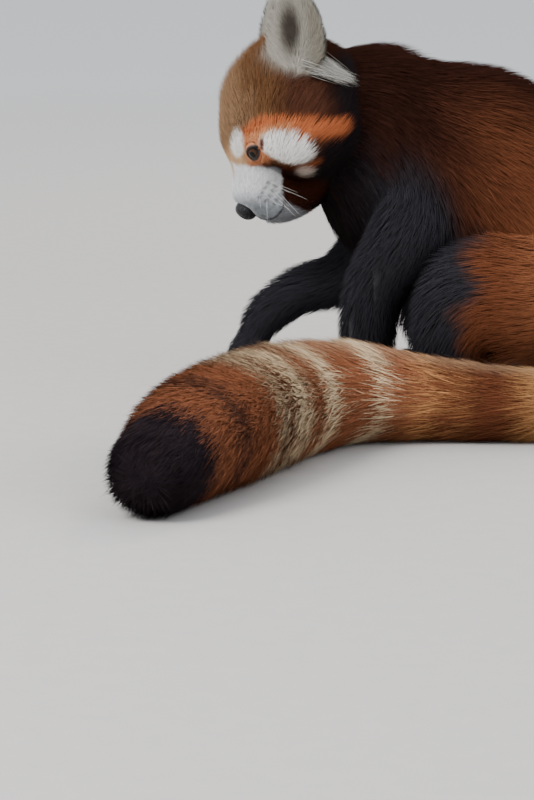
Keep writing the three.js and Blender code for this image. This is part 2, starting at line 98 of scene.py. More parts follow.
TAIL = [
    (146, -12, 52, 24, 24), (186, -50, 38, 29, 29), (180, -104, 31, 30, 30), (140, -141, 28, 30, 30),
    (89, -151, 27, 30, 30), (21, -150, 30, 34, 34), (-32, -158, 35, 41, 41), (-72, -190, 38, 45, 45),
    (-101, -238, 40, 47, 47), (-127, -291, 40, 48, 48), (-150, -344, 39, 46, 46), (-168, -388, 32, 38, 38),
]
TAIL_END = 1.15
TAIL_BONE = 0.6

# Depth, length and width of the coat, and tufts for each square millimetre of skin
COATS = {
    "spine": dict(depth=15, length=32, width=1.15, density=0.42),
    "fore_left": dict(depth=8, length=18, width=0.85, density=0.5),
    "fore_right": dict(depth=8, length=18, width=0.85, density=0.5),
    "hind_left": dict(depth=10, length=25, width=1.0, density=0.42),
    "hind_right": dict(depth=10, length=25, width=1.0, density=0.42),
    "feet": dict(depth=3.5, length=8, width=0.75, density=0.8),
    "tail": dict(depth=16, length=42, width=1.15, density=0.5),
    "head": dict(depth=6, length=12, width=0.7, density=1.5),
    "ears": dict(depth=2.5, length=10, width=0.65, density=1.6),
}

# The skin: its remesh, how often and how strongly it is smoothed, and how low it may reach
SKIN_VOXEL = 2.3
SKIN_ROUNDS = 22
SKIN_SOFTNESS = 0.62
SKIN_LOWEST = 0.6

# The fur: how often its ways are evened out, how low it reaches and how deep it roots
WAY_ROUNDS = 14
FUR_LOWEST = 0.35
ROOT_DEPTH = 1.2
# A tuft's size on the unwrap, the share of darker tufts and their tone, and the most triangles of one piece
UV_STEP = 0.0026
DARK_SHARE = 0.15
DARK_TONE = 0.78
PIECE_TRIANGLES = 195000

# Half widths that turn a share of a foot or an ear into a distance, and millimetres in a metre
FOOT_HALF = 22
EAR_HALF = 22
PER_METRE = 1000


def unit(v):
    v = np.asarray(v, float)
    return v / np.maximum(np.linalg.norm(v, axis=-1, keepdims=True), 1e-9)


FORWARD = np.array([
    -math.cos(HEAD_PITCH) * math.cos(HEAD_YAW),
    -math.cos(HEAD_PITCH) * math.sin(HEAD_YAW),
    -math.sin(HEAD_PITCH),
])
UPWARD = np.array([
    -math.sin(HEAD_PITCH) * math.cos(HEAD_YAW),
    -math.sin(HEAD_PITCH) * math.sin(HEAD_YAW),
    math.cos(HEAD_PITCH),
])
LEFTWARD = np.cross(UPWARD, FORWARD)
HEAD_WAYS = np.stack([FORWARD, UPWARD, LEFTWARD])


def head_place(way):
    return np.asarray(way, float) @ HEAD_WAYS + HEAD_AT


def in_head(points):
    return (np.asarray(points, float) - HEAD_AT) @ HEAD_WAYS.T


# The animal's frame lies in the model's frame by this much, read from the nose
nose_low, nose_high = (np.array(corner) * PER_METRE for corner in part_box("nose"))
SHIFT = (nose_low + nose_high) / 2 - head_place(NOSE_AT)
SHIFT[2] = 0


def in_model(points):
    """Points of the animal's frame, in metres in the model's frame."""
    return (np.asarray(points, float) + SHIFT) / PER_METRE


# Shapes


def curve(points, t):
    """A centripetal Catmull-Rom curve through the points, at the parameters t from 0 to 1."""
    points = np.asarray(points, float)
    last = len(points) - 1
    padded = np.vstack([2 * points[0] - points[1], points, 2 * points[-1] - points[-2]])
    spot = np.clip(np.asarray(t, float), 0, 1) * last
    cell = np.minimum(spot.astype(int), last - 1)
    w = (spot - cell)[..., None]
    a, b, c, d = (padded[cell + k] for k in range(4))
    da, db, dc = (
        np.sqrt(np.linalg.norm(q - p, axis=-1, keepdims=True)) for p, q in ((a, b), (b, c), (c, d))
    )
    db = np.where(db < 1e-4, 1, db)
    da = np.where(da < 1e-4, db, da)
    dc = np.where(dc < 1e-4, db, dc)
    start = ((b - a) / da - (c - a) / (da + db) + (c - b) / db) * db
    end = ((c - b) / db - (d - b) / (db + dc) + (d - c) / dc) * db
    return b + start * w + (-3 * b + 3 * c - 2 * start - end) * w**2 + (2 * b - 2 * c + start + end) * w**3


class Limb:
    """A body swept through stations: its middle line, frame and half sizes anywhere along it."""

    def __init__(self, stations, across=(0, 1, 0)):
        self.middles = np.array([s[:3] for s in stations], float)
        self.halves = np.array([s[3:] for s in stations], float)
        self.across = np.array(across, float)
        self.samples = np.linspace(0, 1, 90)
        self.line = curve(self.middles, self.samples)
        steps = np.linalg.norm(np.diff(self.line, axis=0), axis=1)
        self.run = np.concatenate([[0], np.cumsum(steps)])
        self.length = self.run[-1]

    def frame(self, t):
        middle = curve(self.middles, t)
        before, after = (curve(self.middles, np.clip(t + step, 0, 1)) for step in (-1e-3, 1e-3))
        tangent = unit(after - before)
        side = unit(self.across - tangent * (tangent @ self.across)[..., None])
        return middle, tangent, side, np.cross(tangent, side), curve(self.halves, t)

    def nearest(self, points):
        """The parameter, tangent and signed distance from the surface for each point."""
        spots = np.empty(len(points), int)
        for start in range(0, len(points), 20000):
            part = points[start:start + 20000]
            gaps = ((part[:, None, :] - self.line[None]) ** 2).sum(-1)
            spots[start:start + 20000] = gaps.argmin(1)
        t = self.samples[spots]
        middle, tangent, side, normal, halves = self.frame(t)
        offset = points - middle
        x = (offset * side).sum(1)
        y = (offset * normal).sum(1)
        z = (offset * tangent).sum(1)
        ratio = np.sqrt((x / halves[:, 0]) ** 2 + (y / halves[:, 1]) ** 2 + (z / halves.min(1)) ** 2)
        turn = np.arctan2(x, y)
        return t, tangent, (ratio - 1) * halves.min(1), turn


limbs = {
    "spine": Limb(SPINE),
    "fore_left": Limb(FORELEG_LEFT),
    "fore_right": Limb(FORELEG_RIGHT),
    "hind_left": Limb([(x, -y, z, w, h) for x, y, z, w, h in HINDLEG]),
    "hind_right": Limb(HINDLEG),
    "tail": Limb(TAIL, (0, 0, 1)),
}


def head_distance(points):
    """Signed distance, near enough, from the head's surface for points in the head's own frame."""
    total = None
    for centre, half in HEAD_MASSES:
        scaled = (points - np.array(centre)) / np.array(half)
        inner = np.linalg.norm(scaled, axis=-1)
        slope = np.maximum(np.linalg.norm(scaled / np.array(half), axis=-1), 1e-9)
        d = inner * (inner - 1) / slope
        if total is None:
            total = d
            continue
        h = np.clip(0.5 + 0.5 * (d - total) / HEAD_BLEND, 0, 1)
        total = d * (1 - h) + total * h - HEAD_BLEND * h * (1 - h)
    return total


def on_head(ways, lift=0.0):
    """The head's surface along ways from its middle, in the animal's frame."""
    ways = unit(ways)
    near = np.zeros(ways.shape[:-1])
    far = np.full(ways.shape[:-1], 130.0)
    for _ in range(26):
        middle = (near + far) / 2
        inside = head_distance(ways * middle[..., None]) < 0
        near = np.where(inside, middle, near)
        far = np.where(inside, far, middle)
    return head_place(ways * (near + lift)[..., None])


def shaped_ball(around, rows, shape):
    """A bmesh sphere whose vertices go where `shape` puts their angle from the pole and round it."""
    bm = bmesh.new()
    bmesh.ops.create_uvsphere(bm, u_segments=around, v_segments=rows, radius=1)
    ball = np.array([v.co for v in bm.verts])
    down = np.arccos(np.clip(ball[:, 2], -1, 1))
    places = in_model(shape(down, np.arctan2(ball[:, 1], ball[:, 0]), ball))
    for vert, place in zip(bm.verts, places):
        vert.co = place
    bmesh.ops.recalc_face_normals(bm, faces=bm.faces)
    return bm


def swept_ball(limb, inset, ends, around=32, along=40, caps=6, scale=1.0):
    """A limb's surface, drawn in by `inset`."""
    rows = along + 2 * caps

    def shape(down, turn, ball):
        row = down / math.pi * rows
        middle, tangent, side, normal, halves = limb.frame(np.clip((row - caps) / along, 0, 1))
        halves = halves * scale - inset
        cap = np.minimum(np.minimum(row, rows - row) / caps, 1) * math.pi / 2
        way = np.where(row < rows / 2, -ends[0], ends[1])
        middle = middle + tangent * (way * np.cos(cap) * halves.min(1))[:, None]
        spread = np.sin(cap)
        return (middle + side * (np.cos(turn) * halves[:, 0] * spread)[:, None]
                + normal * (np.sin(turn) * halves[:, 1] * spread)[:, None])

    return shaped_ball(around, rows, shape)


def ellipsoid_ball(centre, ways, halves, around=20, rows=12, narrow=0.0):
    ways = np.asarray(ways, float)

    def shape(down, turn, ball):
        scaled = np.stack([ball[:, 0] * (1 - narrow * ball[:, 1]), ball[:, 1], ball[:, 2]], 1)
        return centre + (scaled * np.asarray(halves)) @ ways

    return shaped_ball(around, rows, shape)


class Foot:
    """A foot on its heel: its sizes, and its ways across, ahead and up."""

    def __init__(self, heel, ahead, length, wide, high):
        self.heel = np.array(heel, float)
        self.ahead = unit(ahead)
        self.across = unit(np.cross([0, 0, 1.0], self.ahead))
        self.top = np.cross(self.ahead, self.across)
        self.length, self.wide, self.high = length, wide, high

    def along(self, share):
        return self.heel + self.ahead * self.length * share

    def toes(self, share):
        """How far to the side each toe is, from -1 to 1, and its place at a share of the foot's length."""
        for spread in (-1, -0.5, 0, 0.5, 1):
            yield spread, (self.along(share - 0.1 * spread**2) + self.across * spread * self.wide * 0.37
                           - self.top * self.high * 0.14)


def foot_balls(foot, inset):
    """A foot and its five toes."""
    ways = [foot.across, foot.ahead, foot.top]
    pieces = [ellipsoid_ball(
        foot.along(0.42), ways,
        [foot.wide * 0.46 - inset, foot.length * 0.5 - inset, foot.high * 0.52 - inset],
    )]
    for _, root in foot.toes(0.84):
        pieces.append(ellipsoid_ball(
            root, ways, [
                foot.wide * 0.14 - inset * 0.4,
                foot.length * 0.19 - inset * 0.4,
                foot.high * 0.32 - inset * 0.5,
            ], 14, 8,
        ))
    return pieces


FEET = {
    "fore_left": Foot((-22, -54, 14), (-1, 0, 0), 62, 46, 30),
    "fore_right": Foot((-106, 48, 58), (-0.5, 0, -0.87), 62, 46, 30),
    "hind_left": Foot((56, -89, 15), (-1, 0, 0), 84, 46, 32),
    "hind_right": Foot((56, 89, 15), (-1, 0, 0), 84, 46, 32),
}


class Ear:
    """One ear's place and its own ways: across to its back edge, up its length and out of its cup."""

    def __init__(self, side):
        mirror = np.array([1, 1, side])
        self.side = side
        root = head_place(np.array(EAR_ROOT) * mirror)
        rise = head_place(np.array(EAR_TIP) * mirror) - root
        self.length = np.linalg.norm(rise)
        self.rise = rise / self.length
        opening = (np.array(EAR_OPENING) * mirror) @ HEAD_WAYS
        self.opening = unit(opening - self.rise * (opening @ self.rise))
        self.across = np.cross(self.rise, self.opening) * side
        self.middle = root + self.rise * self.length * 0.42
        self.halves = np.array([EAR_WIDE / 2, self.length * 0.56, EAR_THICK / 2])

    def local(self, points):
        offset = points - self.middle
        return np.stack([offset @ self.across, offset @ self.rise, offset @ self.opening], 1) / self.halves

    def ball(self):
        """The cup: a leaf whose open side is pressed in."""
        def shape(down, turn, ball):
            x, y, z = ball[:, 0], ball[:, 1], ball[:, 2]
            edge = np.clip(1 - x**2 - y**2, 0, 1)
            deep = np.where(z > 0, -0.55 * np.sqrt(edge), 1.0)
            wide = x * (1 - EAR_NARROW * y)
            halves = self.halves - 3
            rim = 0.25 * np.where(z > 0, 1, 0)
            local = np.stack([wide * halves[0], y * halves[1], (z * deep + rim) * halves[2]], 1)
            ways = np.stack([self.across, self.rise, self.opening])
            return self.middle + local @ ways

        return shaped_ball(40, 28, shape)


ears = [Ear(LEFT), Ear(RIGHT)]


def skin_balls():
    depth = {name: coat["depth"] for name, coat in COATS.items()}
    pieces = [
        swept_ball(limbs["spine"], depth["spine"] - 2, (0.3, 0.95), 40, 50, 8),
        swept_ball(limbs["tail"], 0, (0.5, TAIL_END), 24, 110, 6, TAIL_BONE),
    ]
    for name in ("fore_left", "fore_right", "hind_left", "hind_right"):
        pieces.append(swept_ball(limbs[name], depth[name], (0.6, 0.6)))
        pieces.extend(foot_balls(FEET[name], depth["feet"]))

    def head_shape(down, turn, ball):
        ways = np.stack([ball[:, 1], ball[:, 0], ball[:, 2]], 1)
        places = on_head(ways)
        front = smooth(in_head(places)[:, 0], 30, 60)
        near_eye = sum(
            smooth(np.linalg.norm(places - eye_place(side)[0], axis=1), 24, 9) for side in (LEFT, RIGHT)
        )
        tip = smooth(in_head(places)[:, 0], 64, 76)
        inset = depth["head"] * (1 - front) + 1.8 * front - 1.0 * tip
        return on_head(ways, -inset * (1 - near_eye) - 0.8 * near_eye)

    pieces.append(shaped_ball(90, 64, head_shape))
    pieces.append(ellipsoid_ball(head_place((76, -5, 0)), HEAD_WAYS, (9, 10, 13)))
    pieces.extend(ear.ball() for ear in ears)
    for side in (LEFT, RIGHT):
        pieces.append(ellipsoid_ball(np.array([74, 84 * side, 38]), np.eye(3), (28, 16, 26)))
    return pieces


def smooth(value, low, high):
    """0 below low, 1 above high, and a smooth step between; low may be the larger."""
    t = np.clip((np.asarray(value, float) - low) / (high - low), 0, 1)
    return t * t * (3 - 2 * t)


# Objects


def new_object(name, mesh, material):
    piece = bpy.data.objects.new(name, mesh)
    bpy.context.collection.objects.link(piece)
    mesh.materials.append(material)
    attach(piece, "root")
    return piece


def joined(bms):
    """One bmesh from several, which are freed."""
    whole = bmesh.new()
    for bm in bms:
        part = bpy.data.meshes.new("part")
        bm.to_mesh(part)
        bm.free()
        whole.from_mesh(part)
        bpy.data.meshes.remove(part)
    return whole


def mesh_from(name, bm):
    """A mesh from a bmesh, which is freed."""
    mesh = bpy.data.meshes.new(name)
    bm.to_mesh(mesh)
    bm.free()
    return mesh


def smooth_mesh(name, bm):
    mesh = mesh_from(name, bm)
    for face in mesh.polygons:
        face.use_smooth = True
    return mesh


def read(items, name, size, kind=np.float32):
    """A property of all of a mesh's items, with a row for each."""
    flat = np.empty(len(items) * size, kind)
    items.foreach_get(name, flat)
    return flat.reshape(-1, size)


def places_of(mesh):
    """The mesh's vertices in the animal's frame."""
    return read(mesh.vertices, "co", 3).astype(float) * PER_METRE - SHIFT


def paint_vertices(mesh, colour):
    layer = mesh.attributes.new("Fur", "FLOAT_COLOR", "POINT")
    rgba = np.ones((len(colour), 4), np.float32)
    rgba[:, :3] = np.clip(colour, 0, 1)
    layer.data.foreach_set("color", rgba.ravel())


def averaged(values, edges, count):
    """Each vertex's mean of its neighbours' values."""
    total = np.stack([
        np.bincount(edges.ravel(), weights=values[edges[:, ::-1].ravel(), k], minlength=count)
        for k in range(values.shape[1])
    ], 1)
    number = np.bincount(edges.ravel(), minlength=count)[:, None]
    return total / np.maximum(number, 1)


def make_skin(material):
    """The flesh as one closed surface, remeshed from its parts and smoothed where they meet."""
    rough = bpy.data.objects.new("rough", mesh_from("whole", joined(skin_balls())))
    bpy.context.collection.objects.link(rough)
    remesh = rough.modifiers.new("remesh", "REMESH")
    remesh.mode = "VOXEL"
    remesh.voxel_size = SKIN_VOXEL / PER_METRE
    remesh.use_smooth_shade = True
    depsgraph = bpy.context.evaluated_depsgraph_get()
    mesh = bpy.data.meshes.new_from_object(rough.evaluated_get(depsgraph))
    bpy.data.objects.remove(rough)
    mesh.name = "skin"
    edges = read(mesh.edges, "vertices", 2, np.int32)
    places = places_of(mesh)
    local = in_head(places)
    fine = np.maximum(smooth(local[:, 0], 20, 45) * smooth(local[:, 1], -60, -40), 0)
    for ear in ears:
        fine = np.maximum(fine, smooth(np.linalg.norm(ear.local(places), axis=1), 1.7, 1.2))
    for foot in FEET.values():
        fine = np.maximum(fine, smooth(np.linalg.norm(places - foot.along(0.75), axis=1), 40, 25))
    strength = (SKIN_SOFTNESS * (1 - 0.8 * fine))[:, None]
    for _ in range(SKIN_ROUNDS):
        places += strength * (averaged(places, edges, len(places)) - places)
    places = carve_face(places)
    places[:, 2] = np.maximum(places[:, 2], SKIN_LOWEST)
    mesh.vertices.foreach_set("co", in_model(places).astype(np.float32).ravel())
    mesh.update()
    skin = new_object("skin", mesh, material)
    unwrap(skin)
    return skin, edges


def eye_place(side):
    """An eye's centre, and the way it looks out of the head."""
    way = np.array(EYE_WAY, float) * np.array([1, 1, side])
    out = unit((np.array(EYE_AXIS) * np.array([1, 1, side])) @ HEAD_WAYS)
    return on_head(way) - out * (EYE_RADIUS - EYE_PROUD), out


def mouth_line(count=60):
    ways = curve(MOUTH, np.linspace(0, 1, count))
    return on_head(ways)


def carve_face(places):
    """Sinks the mouth line and the eye sockets into the skin."""
    line = mouth_line()
    spots = np.nonzero(np.linalg.norm(places - head_place((55, -5, 0)), axis=1) < 60)[0]
    gap = np.linalg.norm(places[spots][:, None] - line[None], axis=2).min(1)
    inwards = unit(head_place((45, -8, 0)) - places[spots])
    places[spots] += inwards * (1.6 * np.exp(-((gap / 2.0) ** 2)))[:, None]
    for side in (LEFT, RIGHT):
        centre, out = eye_place(side)
        offset = places - centre
        high = offset @ out
        wide = np.linalg.norm(offset - out * high[:, None], axis=1)
        close = (np.abs(high) < 12) & (wide < 20)
        socket = 3.0 * smooth(wide, 8.6, 5.0)
        mound = 1.6 * np.exp(-(((wide - 9.5) / 4.5) ** 2))
        places += out * ((mound - socket) * close)[:, None]
    return places


def unwrap(piece):
    """An unwrap of the piece's own shape, which its coat shares."""
    bpy.ops.object.select_all(action="DESELECT")
    bpy.context.view_layer.objects.active = piece
    piece.select_set(True)
    piece.data.uv_layers.new(name="OFBake")
    bpy.ops.object.mode_set(mode="EDIT")
    bpy.ops.mesh.select_all(action="SELECT")
    bpy.ops.uv.smart_project(angle_limit=math.radians(66), island_margin=0.002)
    bpy.ops.object.mode_set(mode="OBJECT")
    piece.select_set(False)


# Markings, as colours in linear light


def paint(red, green, blue):
    return np.array([(c / 255) ** 2.2 for c in (red, green, blue)])


CROWN = paint(106, 75, 52)
FOREHEAD = paint(142, 112, 86)
TEMPLE = paint(78, 51, 40)
ORANGE = paint(188, 106, 68)
ORANGE_PALE = paint(206, 146, 104)
CHEEK_TUFT = paint(214, 196, 182)
TAN = paint(205, 165, 128)
WHITE = paint(252, 248, 242)
MUZZLE = paint(244, 246, 250)
# The muzzle's white, darkened as painted shade
MUZZLE_PAINTED_SHADE = paint(178, 184, 190)
WHISKER_SPOT = paint(110, 112, 118)
JAW = paint(150, 152, 156)
# The nape's red-brown, darkened as painted shade
NAPE_AND_SHADE = paint(48, 30, 24)
TEAR = paint(88, 48, 34)
BLACK = paint(36, 32, 34)
# The legs' black, lightened and blued as a painted sheen
LEG_BLACK_AND_SHEEN = paint(50, 50, 55)
# The back's mahogany, partly its real colour and partly painted shade
MAHOGANY_AND_SHADE = paint(50, 31, 26)
RUST = paint(108, 65, 46)
FLAME = paint(140, 88, 62)
EAR_PALE = paint(158, 154, 144)
# The ear's pale fur, darkened as painted shade
EAR_PAINTED_SHADE = paint(122, 116, 104)
EAR_DARK = paint(44, 36, 33)
TAIL_RUST = paint(138, 86, 62)
TAIL_RED = paint(108, 64, 46)
TAIL_CREAM = paint(226, 198, 160)
TAIL_GOLD = paint(170, 122, 80)
TAIL_BROWN = paint(88, 60, 50)
TAIL_BLACK = paint(46, 40, 44)

# The tail's rings from its tip: how far each begins, in millimetres, and its colour
TAIL_RINGS = [
    (0, TAIL_BLACK), (60, TAIL_RUST * 1.1), (86, TAIL_BROWN), (101, TAIL_RUST * 1.15), (116, TAIL_RUST),
    (147, TAIL_CREAM * 0.62), (160, TAIL_RED * 0.9), (174, TAIL_CREAM * 0.85), (199, TAIL_RUST),
    (225, TAIL_CREAM * 0.85), (250, TAIL_RUST), (302, TAIL_CREAM * 0.9), (326, TAIL_RUST),
    (359, TAIL_GOLD * 1.3), (368, TAIL_RED), (391, TAIL_GOLD), (397, TAIL_RED * 0.85), (434, TAIL_GOLD),
    (462, TAIL_RED * 0.8),
    (500, TAIL_GOLD * 0.8), (520, TAIL_RED * 0.7), (560, TAIL_GOLD * 0.7), (580, TAIL_RED * 0.65),
]


def blend(base, colour, mask):
    return base + (colour - base) * np.asarray(mask)[:, None]


def layered(base, count, *layers):
    """Colours that start as the base and take on each layer's colour by its mask, in turn."""
    colour = np.tile(base, (count, 1))
    for tone, mask in layers:
        colour = blend(colour, tone, mask)
    return colour


def spot(local, centre, halves, angle=0.0, soft=0.25):
    """A soft-edged oval on the side of the head, in nose and crown measures, on both sides alike."""
    x = local[:, 0] - centre[0]
    y = local[:, 1] - centre[1]
    turn = math.radians(angle)
    along = x * math.cos(turn) + y * math.sin(turn)
    cross = -x * math.sin(turn) + y * math.cos(turn)
    reach = np.sqrt((along / halves[0]) ** 2 + (cross / halves[1]) ** 2)
    return smooth(reach, 1 + soft, 1 - soft)


def stroke(local, points, half, end_half, soft=4.0):
    """A soft-edged tapering stripe along a curve on the side of the head."""
    line = curve(np.array(points, float), np.linspace(0, 1, 30))
    away = np.sqrt(((local[:, None, :2] - line[None]) ** 2).sum(2))
    half = half + (end_half - half) * away.argmin(1) / 29
    return smooth(away.min(1), half + soft / 2, half - soft / 2)


def whisker_ways():
    """Where the whiskers root: four in each of three rows on both sides, as ways on the head."""
    return np.array([
        (66 - 4 * step, -4 - 6 * row, (19 + 1.5 * step) * side)
        for side in (LEFT, RIGHT) for row in range(3) for step in range(4)
    ], float)


def face_colours(places):
    """The head's markings."""
    local = in_head(places)
    local[:, :2] -= np.abs(local[:, 2:]) * np.array([0.04, 0.07])
    f, u, l = local[:, 0], local[:, 1], np.abs(local[:, 2])
    wobble = 1.6 * np.sin(places[:, 2] * 0.31 + places[:, 1] * 0.2) + 1.2 * np.sin(places[:, 0] * 0.53)
    side = smooth(l, 18, 30)
    band = [(38, 26), (22, 20), (11, 5), (3, -16), (-6, -33)]
    colour = layered(
        CROWN, len(places),
        (FOREHEAD, smooth(f + 0.7 * u + 2 * wobble, 18, 56)),
        (TEMPLE, smooth(u + 0.5 * f + wobble, 30, 6) * smooth(f, 36, 16)),
        # dark nape, its brown darkened with painted shade
        (NAPE_AND_SHADE, smooth(u + 0.9 * f + wobble, -14, -40)),
        (BLACK, smooth(u + 0.9 * f + wobble, -22, -44) * smooth(u, 6, -12)),
        (BLACK, smooth(u - 0.2 * f + wobble, -26, -36) * smooth(f, 66, 56)),
        (ORANGE, stroke(local, band, 8.5, 5.5) * side),
        (ORANGE_PALE, stroke(local, [(38, 22), (24, 15), (13, 3)], 5, 3, 8) * side),
        (ORANGE * 0.5, stroke(local, [(40, -12), (33, -22), (22, -29)], 3.5, 2, 5) * side),
        ((ORANGE + ORANGE_PALE) / 2, spot(local, (42, 14), (14, 14)) * smooth(l, 9, 16)),
        (TAN, spot(local, (56, 22), (14, 9), -30, 0.5)),
        (TEAR, spot(local, (45, -9), (16, 8), 60, 0.4) * smooth(l, 12, 20)),
        (TEAR * 0.35, smooth(u, -9, -17) * smooth(f, 30, 40) * smooth(l, 10, 18)),
        (WHITE, spot(local, (24, -4), (20.5, 11.5), 74, 0.14) * smooth(l, 22, 30)),
        (WHITE, spot(local, (42, 28.5), (10.5, 5.5), -25, 0.22) * smooth(l, 6, 10) * smooth(l, 31, 25)),
        (CHEEK_TUFT, 0.85 * spot(local, (33, -25), (6.5, 4), 60, 0.5) * smooth(l, 20, 28)),
        (TEAR, stroke(local, [(34, 12), (29, 15)], 1.6, 1.2, 1.5) * smooth(l, 16, 24)),
    )
    edge = np.where(u > -9, 61 - (30 - u) * 0.52, 40.7 + (-9 - u) * 1.6) + 0.5 * wobble
    bridge = smooth(l, 8, 4) * smooth(f, 74, 62) * smooth(u, 0, 8)
    # The lower front of the muzzle, towards the nose and mouth, is greyer with painted shade
    white = layered(MUZZLE, len(places), (MUZZLE_PAINTED_SHADE, smooth(f - 0.6 * u, 64, 82)), (TAN, 0.8 * bridge))
    roots = on_head(whisker_ways())
    near = np.nonzero(f > 44)[0]
    gap = np.linalg.norm(places[near][:, None] - roots[None], axis=2).min(1)
    white[near] = blend(white[near], WHISKER_SPOT, 0.75 * smooth(gap, 2.4, 0.8))
    mask = smooth(f, edge - 2, edge + 2)[:, None]
    colour = colour * (1 - mask) + white * mask
    return blend(colour, JAW, smooth(f, 60, 64) * smooth(u, -22, -27))


def ear_colours(places, ear, inwards):
    """Pale rim and inner fur, a dark middle, a dark back, and painted shade towards the ear's back edge."""
    local = ear.local(places)
    x, y = local[:, 0], local[:, 1]
    middle = smooth(np.sqrt(((x + 0.22) / 0.36) ** 2 + ((y - 0.02) / 0.6) ** 2), 1.35, 0.35)
    rim = np.sqrt(x**2 + y**2)
    return layered(
        EAR_PALE, len(places),
        (EAR_DARK, 0.9 * middle * inwards),
        # painted shade towards the ear's back edge
        (EAR_PAINTED_SHADE, 0.7 * smooth(x, 0.05, 0.6)),
        (TEMPLE, (1 - inwards) * smooth(rim, 0.82, 0.6)),
    )


def tail_colours(t, places):
    limb = limbs["tail"]
    end = limb.length + TAIL_END * TAIL[-1][3]
    tip = np.array(TAIL[-1][:3], float)
    tangent = unit(limb.line[-1] - limb.line[-2])
    past = np.maximum(0, (places - tip) @ tangent)
    distance = end - (np.interp(t, limb.samples, limb.run) + past)
    rings = [(tone, smooth(distance, start - 4, start + 4)) for start, tone in TAIL_RINGS[1:]]
    middle, _, _, _, halves = limb.frame(t)
    above = (places - middle)[:, 2] / halves[:, 0]
    # Cream painted light along the top of the tail, where the light falls on it
    pale = 0.4 * smooth(above, 0.6, 0.95) * smooth(distance, 120, 200)
    return layered(TAIL_RINGS[0][1], len(places), *rings, (TAIL_CREAM * 0.8, pale))


def body_colours(places, weights, facts):
    """The colours of the body from its parts' weights."""
    x, y, z = places.T
    wobble = 4 * np.sin(x * 0.09 + z * 0.13) + 3 * np.sin(z * 0.21 - y * 0.17)
    turn = np.abs(np.degrees(facts["spine"]["turn"]))
    front = (x + 42) * -0.885 + (z - 235) * -0.465 + wobble
    # The back: mahogany on its top and front, partly real colour and partly painted shade, turning rust and
    # flame on the flanks
    back = layered(
        MAHOGANY_AND_SHADE, len(places),
        (RUST, smooth(x + wobble, 5, 90) * smooth(turn, 10, 60)),
        (FLAME, smooth(x + wobble, 50, 120) * smooth(turn, 50, 100) * smooth(z, 150, 90)),
        (BLACK, smooth(front, -8, 8)),
        (BLACK, smooth(turn + wobble + 0.25 * np.clip(110 - z, 0, 60), 116, 134)),
    )
    thigh = layered(
        RUST, len(places),
        (FLAME, smooth(x, 60, 110)),
        (LEG_BLACK_AND_SHEEN, smooth(x - 0.2 * (z - 100) + 1.5 * wobble, 56, 36)),
        (LEG_BLACK_AND_SHEEN, smooth(z + wobble, 46, 30) * smooth(x, 90, 70)),
        (LEG_BLACK_AND_SHEEN, smooth(np.abs(y), 66, 54) * smooth(z, 130, 90)),
    )
    tones = {
        "spine": back, "fore_left": LEG_BLACK_AND_SHEEN, "fore_right": LEG_BLACK_AND_SHEEN,
        "hind_left": thigh, "hind_right": thigh,
        "tail": tail_colours(facts["tail"]["t"], places), "feet": LEG_BLACK_AND_SHEEN,
    }
    return sum(tone * weights[name][:, None] for name, tone in tones.items())


def read_parts(places, sharp=6.0):
    """Which part of the animal each point belongs to, and that part's facts there."""
    facts = {}
    gaps = {}
    for name, limb in limbs.items():
        t, tangent, gap, turn = limb.nearest(places)
        facts[name] = {"t": t, "tangent": tangent, "turn": turn}
        gaps[name] = gap + COATS[name]["depth"]
    gaps["tail"] = gaps["tail"] - 3
    gaps["head"] = head_distance(in_head(places)) + COATS["head"]["depth"]
    feet = []
    for foot in FEET.values():
        offset = places - foot.along(0.5)
        along = offset @ foot.ahead
        cross = np.linalg.norm(offset - along[:, None] * foot.ahead, axis=1)
        feet.append(np.sqrt((along / (foot.length * 0.62)) ** 2 + (cross / FOOT_HALF) ** 2))
    gaps["feet"] = (np.min(feet, axis=0) - 1) * FOOT_HALF
    cups = [(np.linalg.norm(ear.local(places), axis=1) - 1.0) * EAR_HALF for ear in ears]
    gaps["ears"] = np.min(cups, axis=0)
    names = list(gaps)
    table = np.stack([gaps[name] for name in names])
    weight = np.exp(-(table - table.min(0)) / sharp)
    weight /= weight.sum(0)
    return facts, {name: weight[i] for i, name in enumerate(names)}


def markings(places, normals):
    """The colour of every part of the animal at places on its skin or in its coat."""
    facts, weights = read_parts(places, 2.2)
    on_ear = np.max([smooth(ear.local(places)[:, 1], -0.98, -0.72) for ear in ears], axis=0)
    weights["head"] = weights["head"] + weights["ears"] * (1 - on_ear)
    weights["ears"] = weights["ears"] * on_ear
    colour = body_colours(places, weights, facts)
    colour += face_colours(places) * weights["head"][:, None]
    cups = np.zeros_like(colour)
    total = np.full(len(colour), 1e-6)
    for ear in ears:
        mine = smooth(np.linalg.norm(ear.local(places), axis=1), 3, 1.5)
        inwards = smooth(normals @ ear.opening, -0.15, 0.25)
        cups += ear_colours(places, ear, inwards) * mine[:, None]
        total += mine
    return colour + cups * (weights["ears"] / total)[:, None]


# The coat


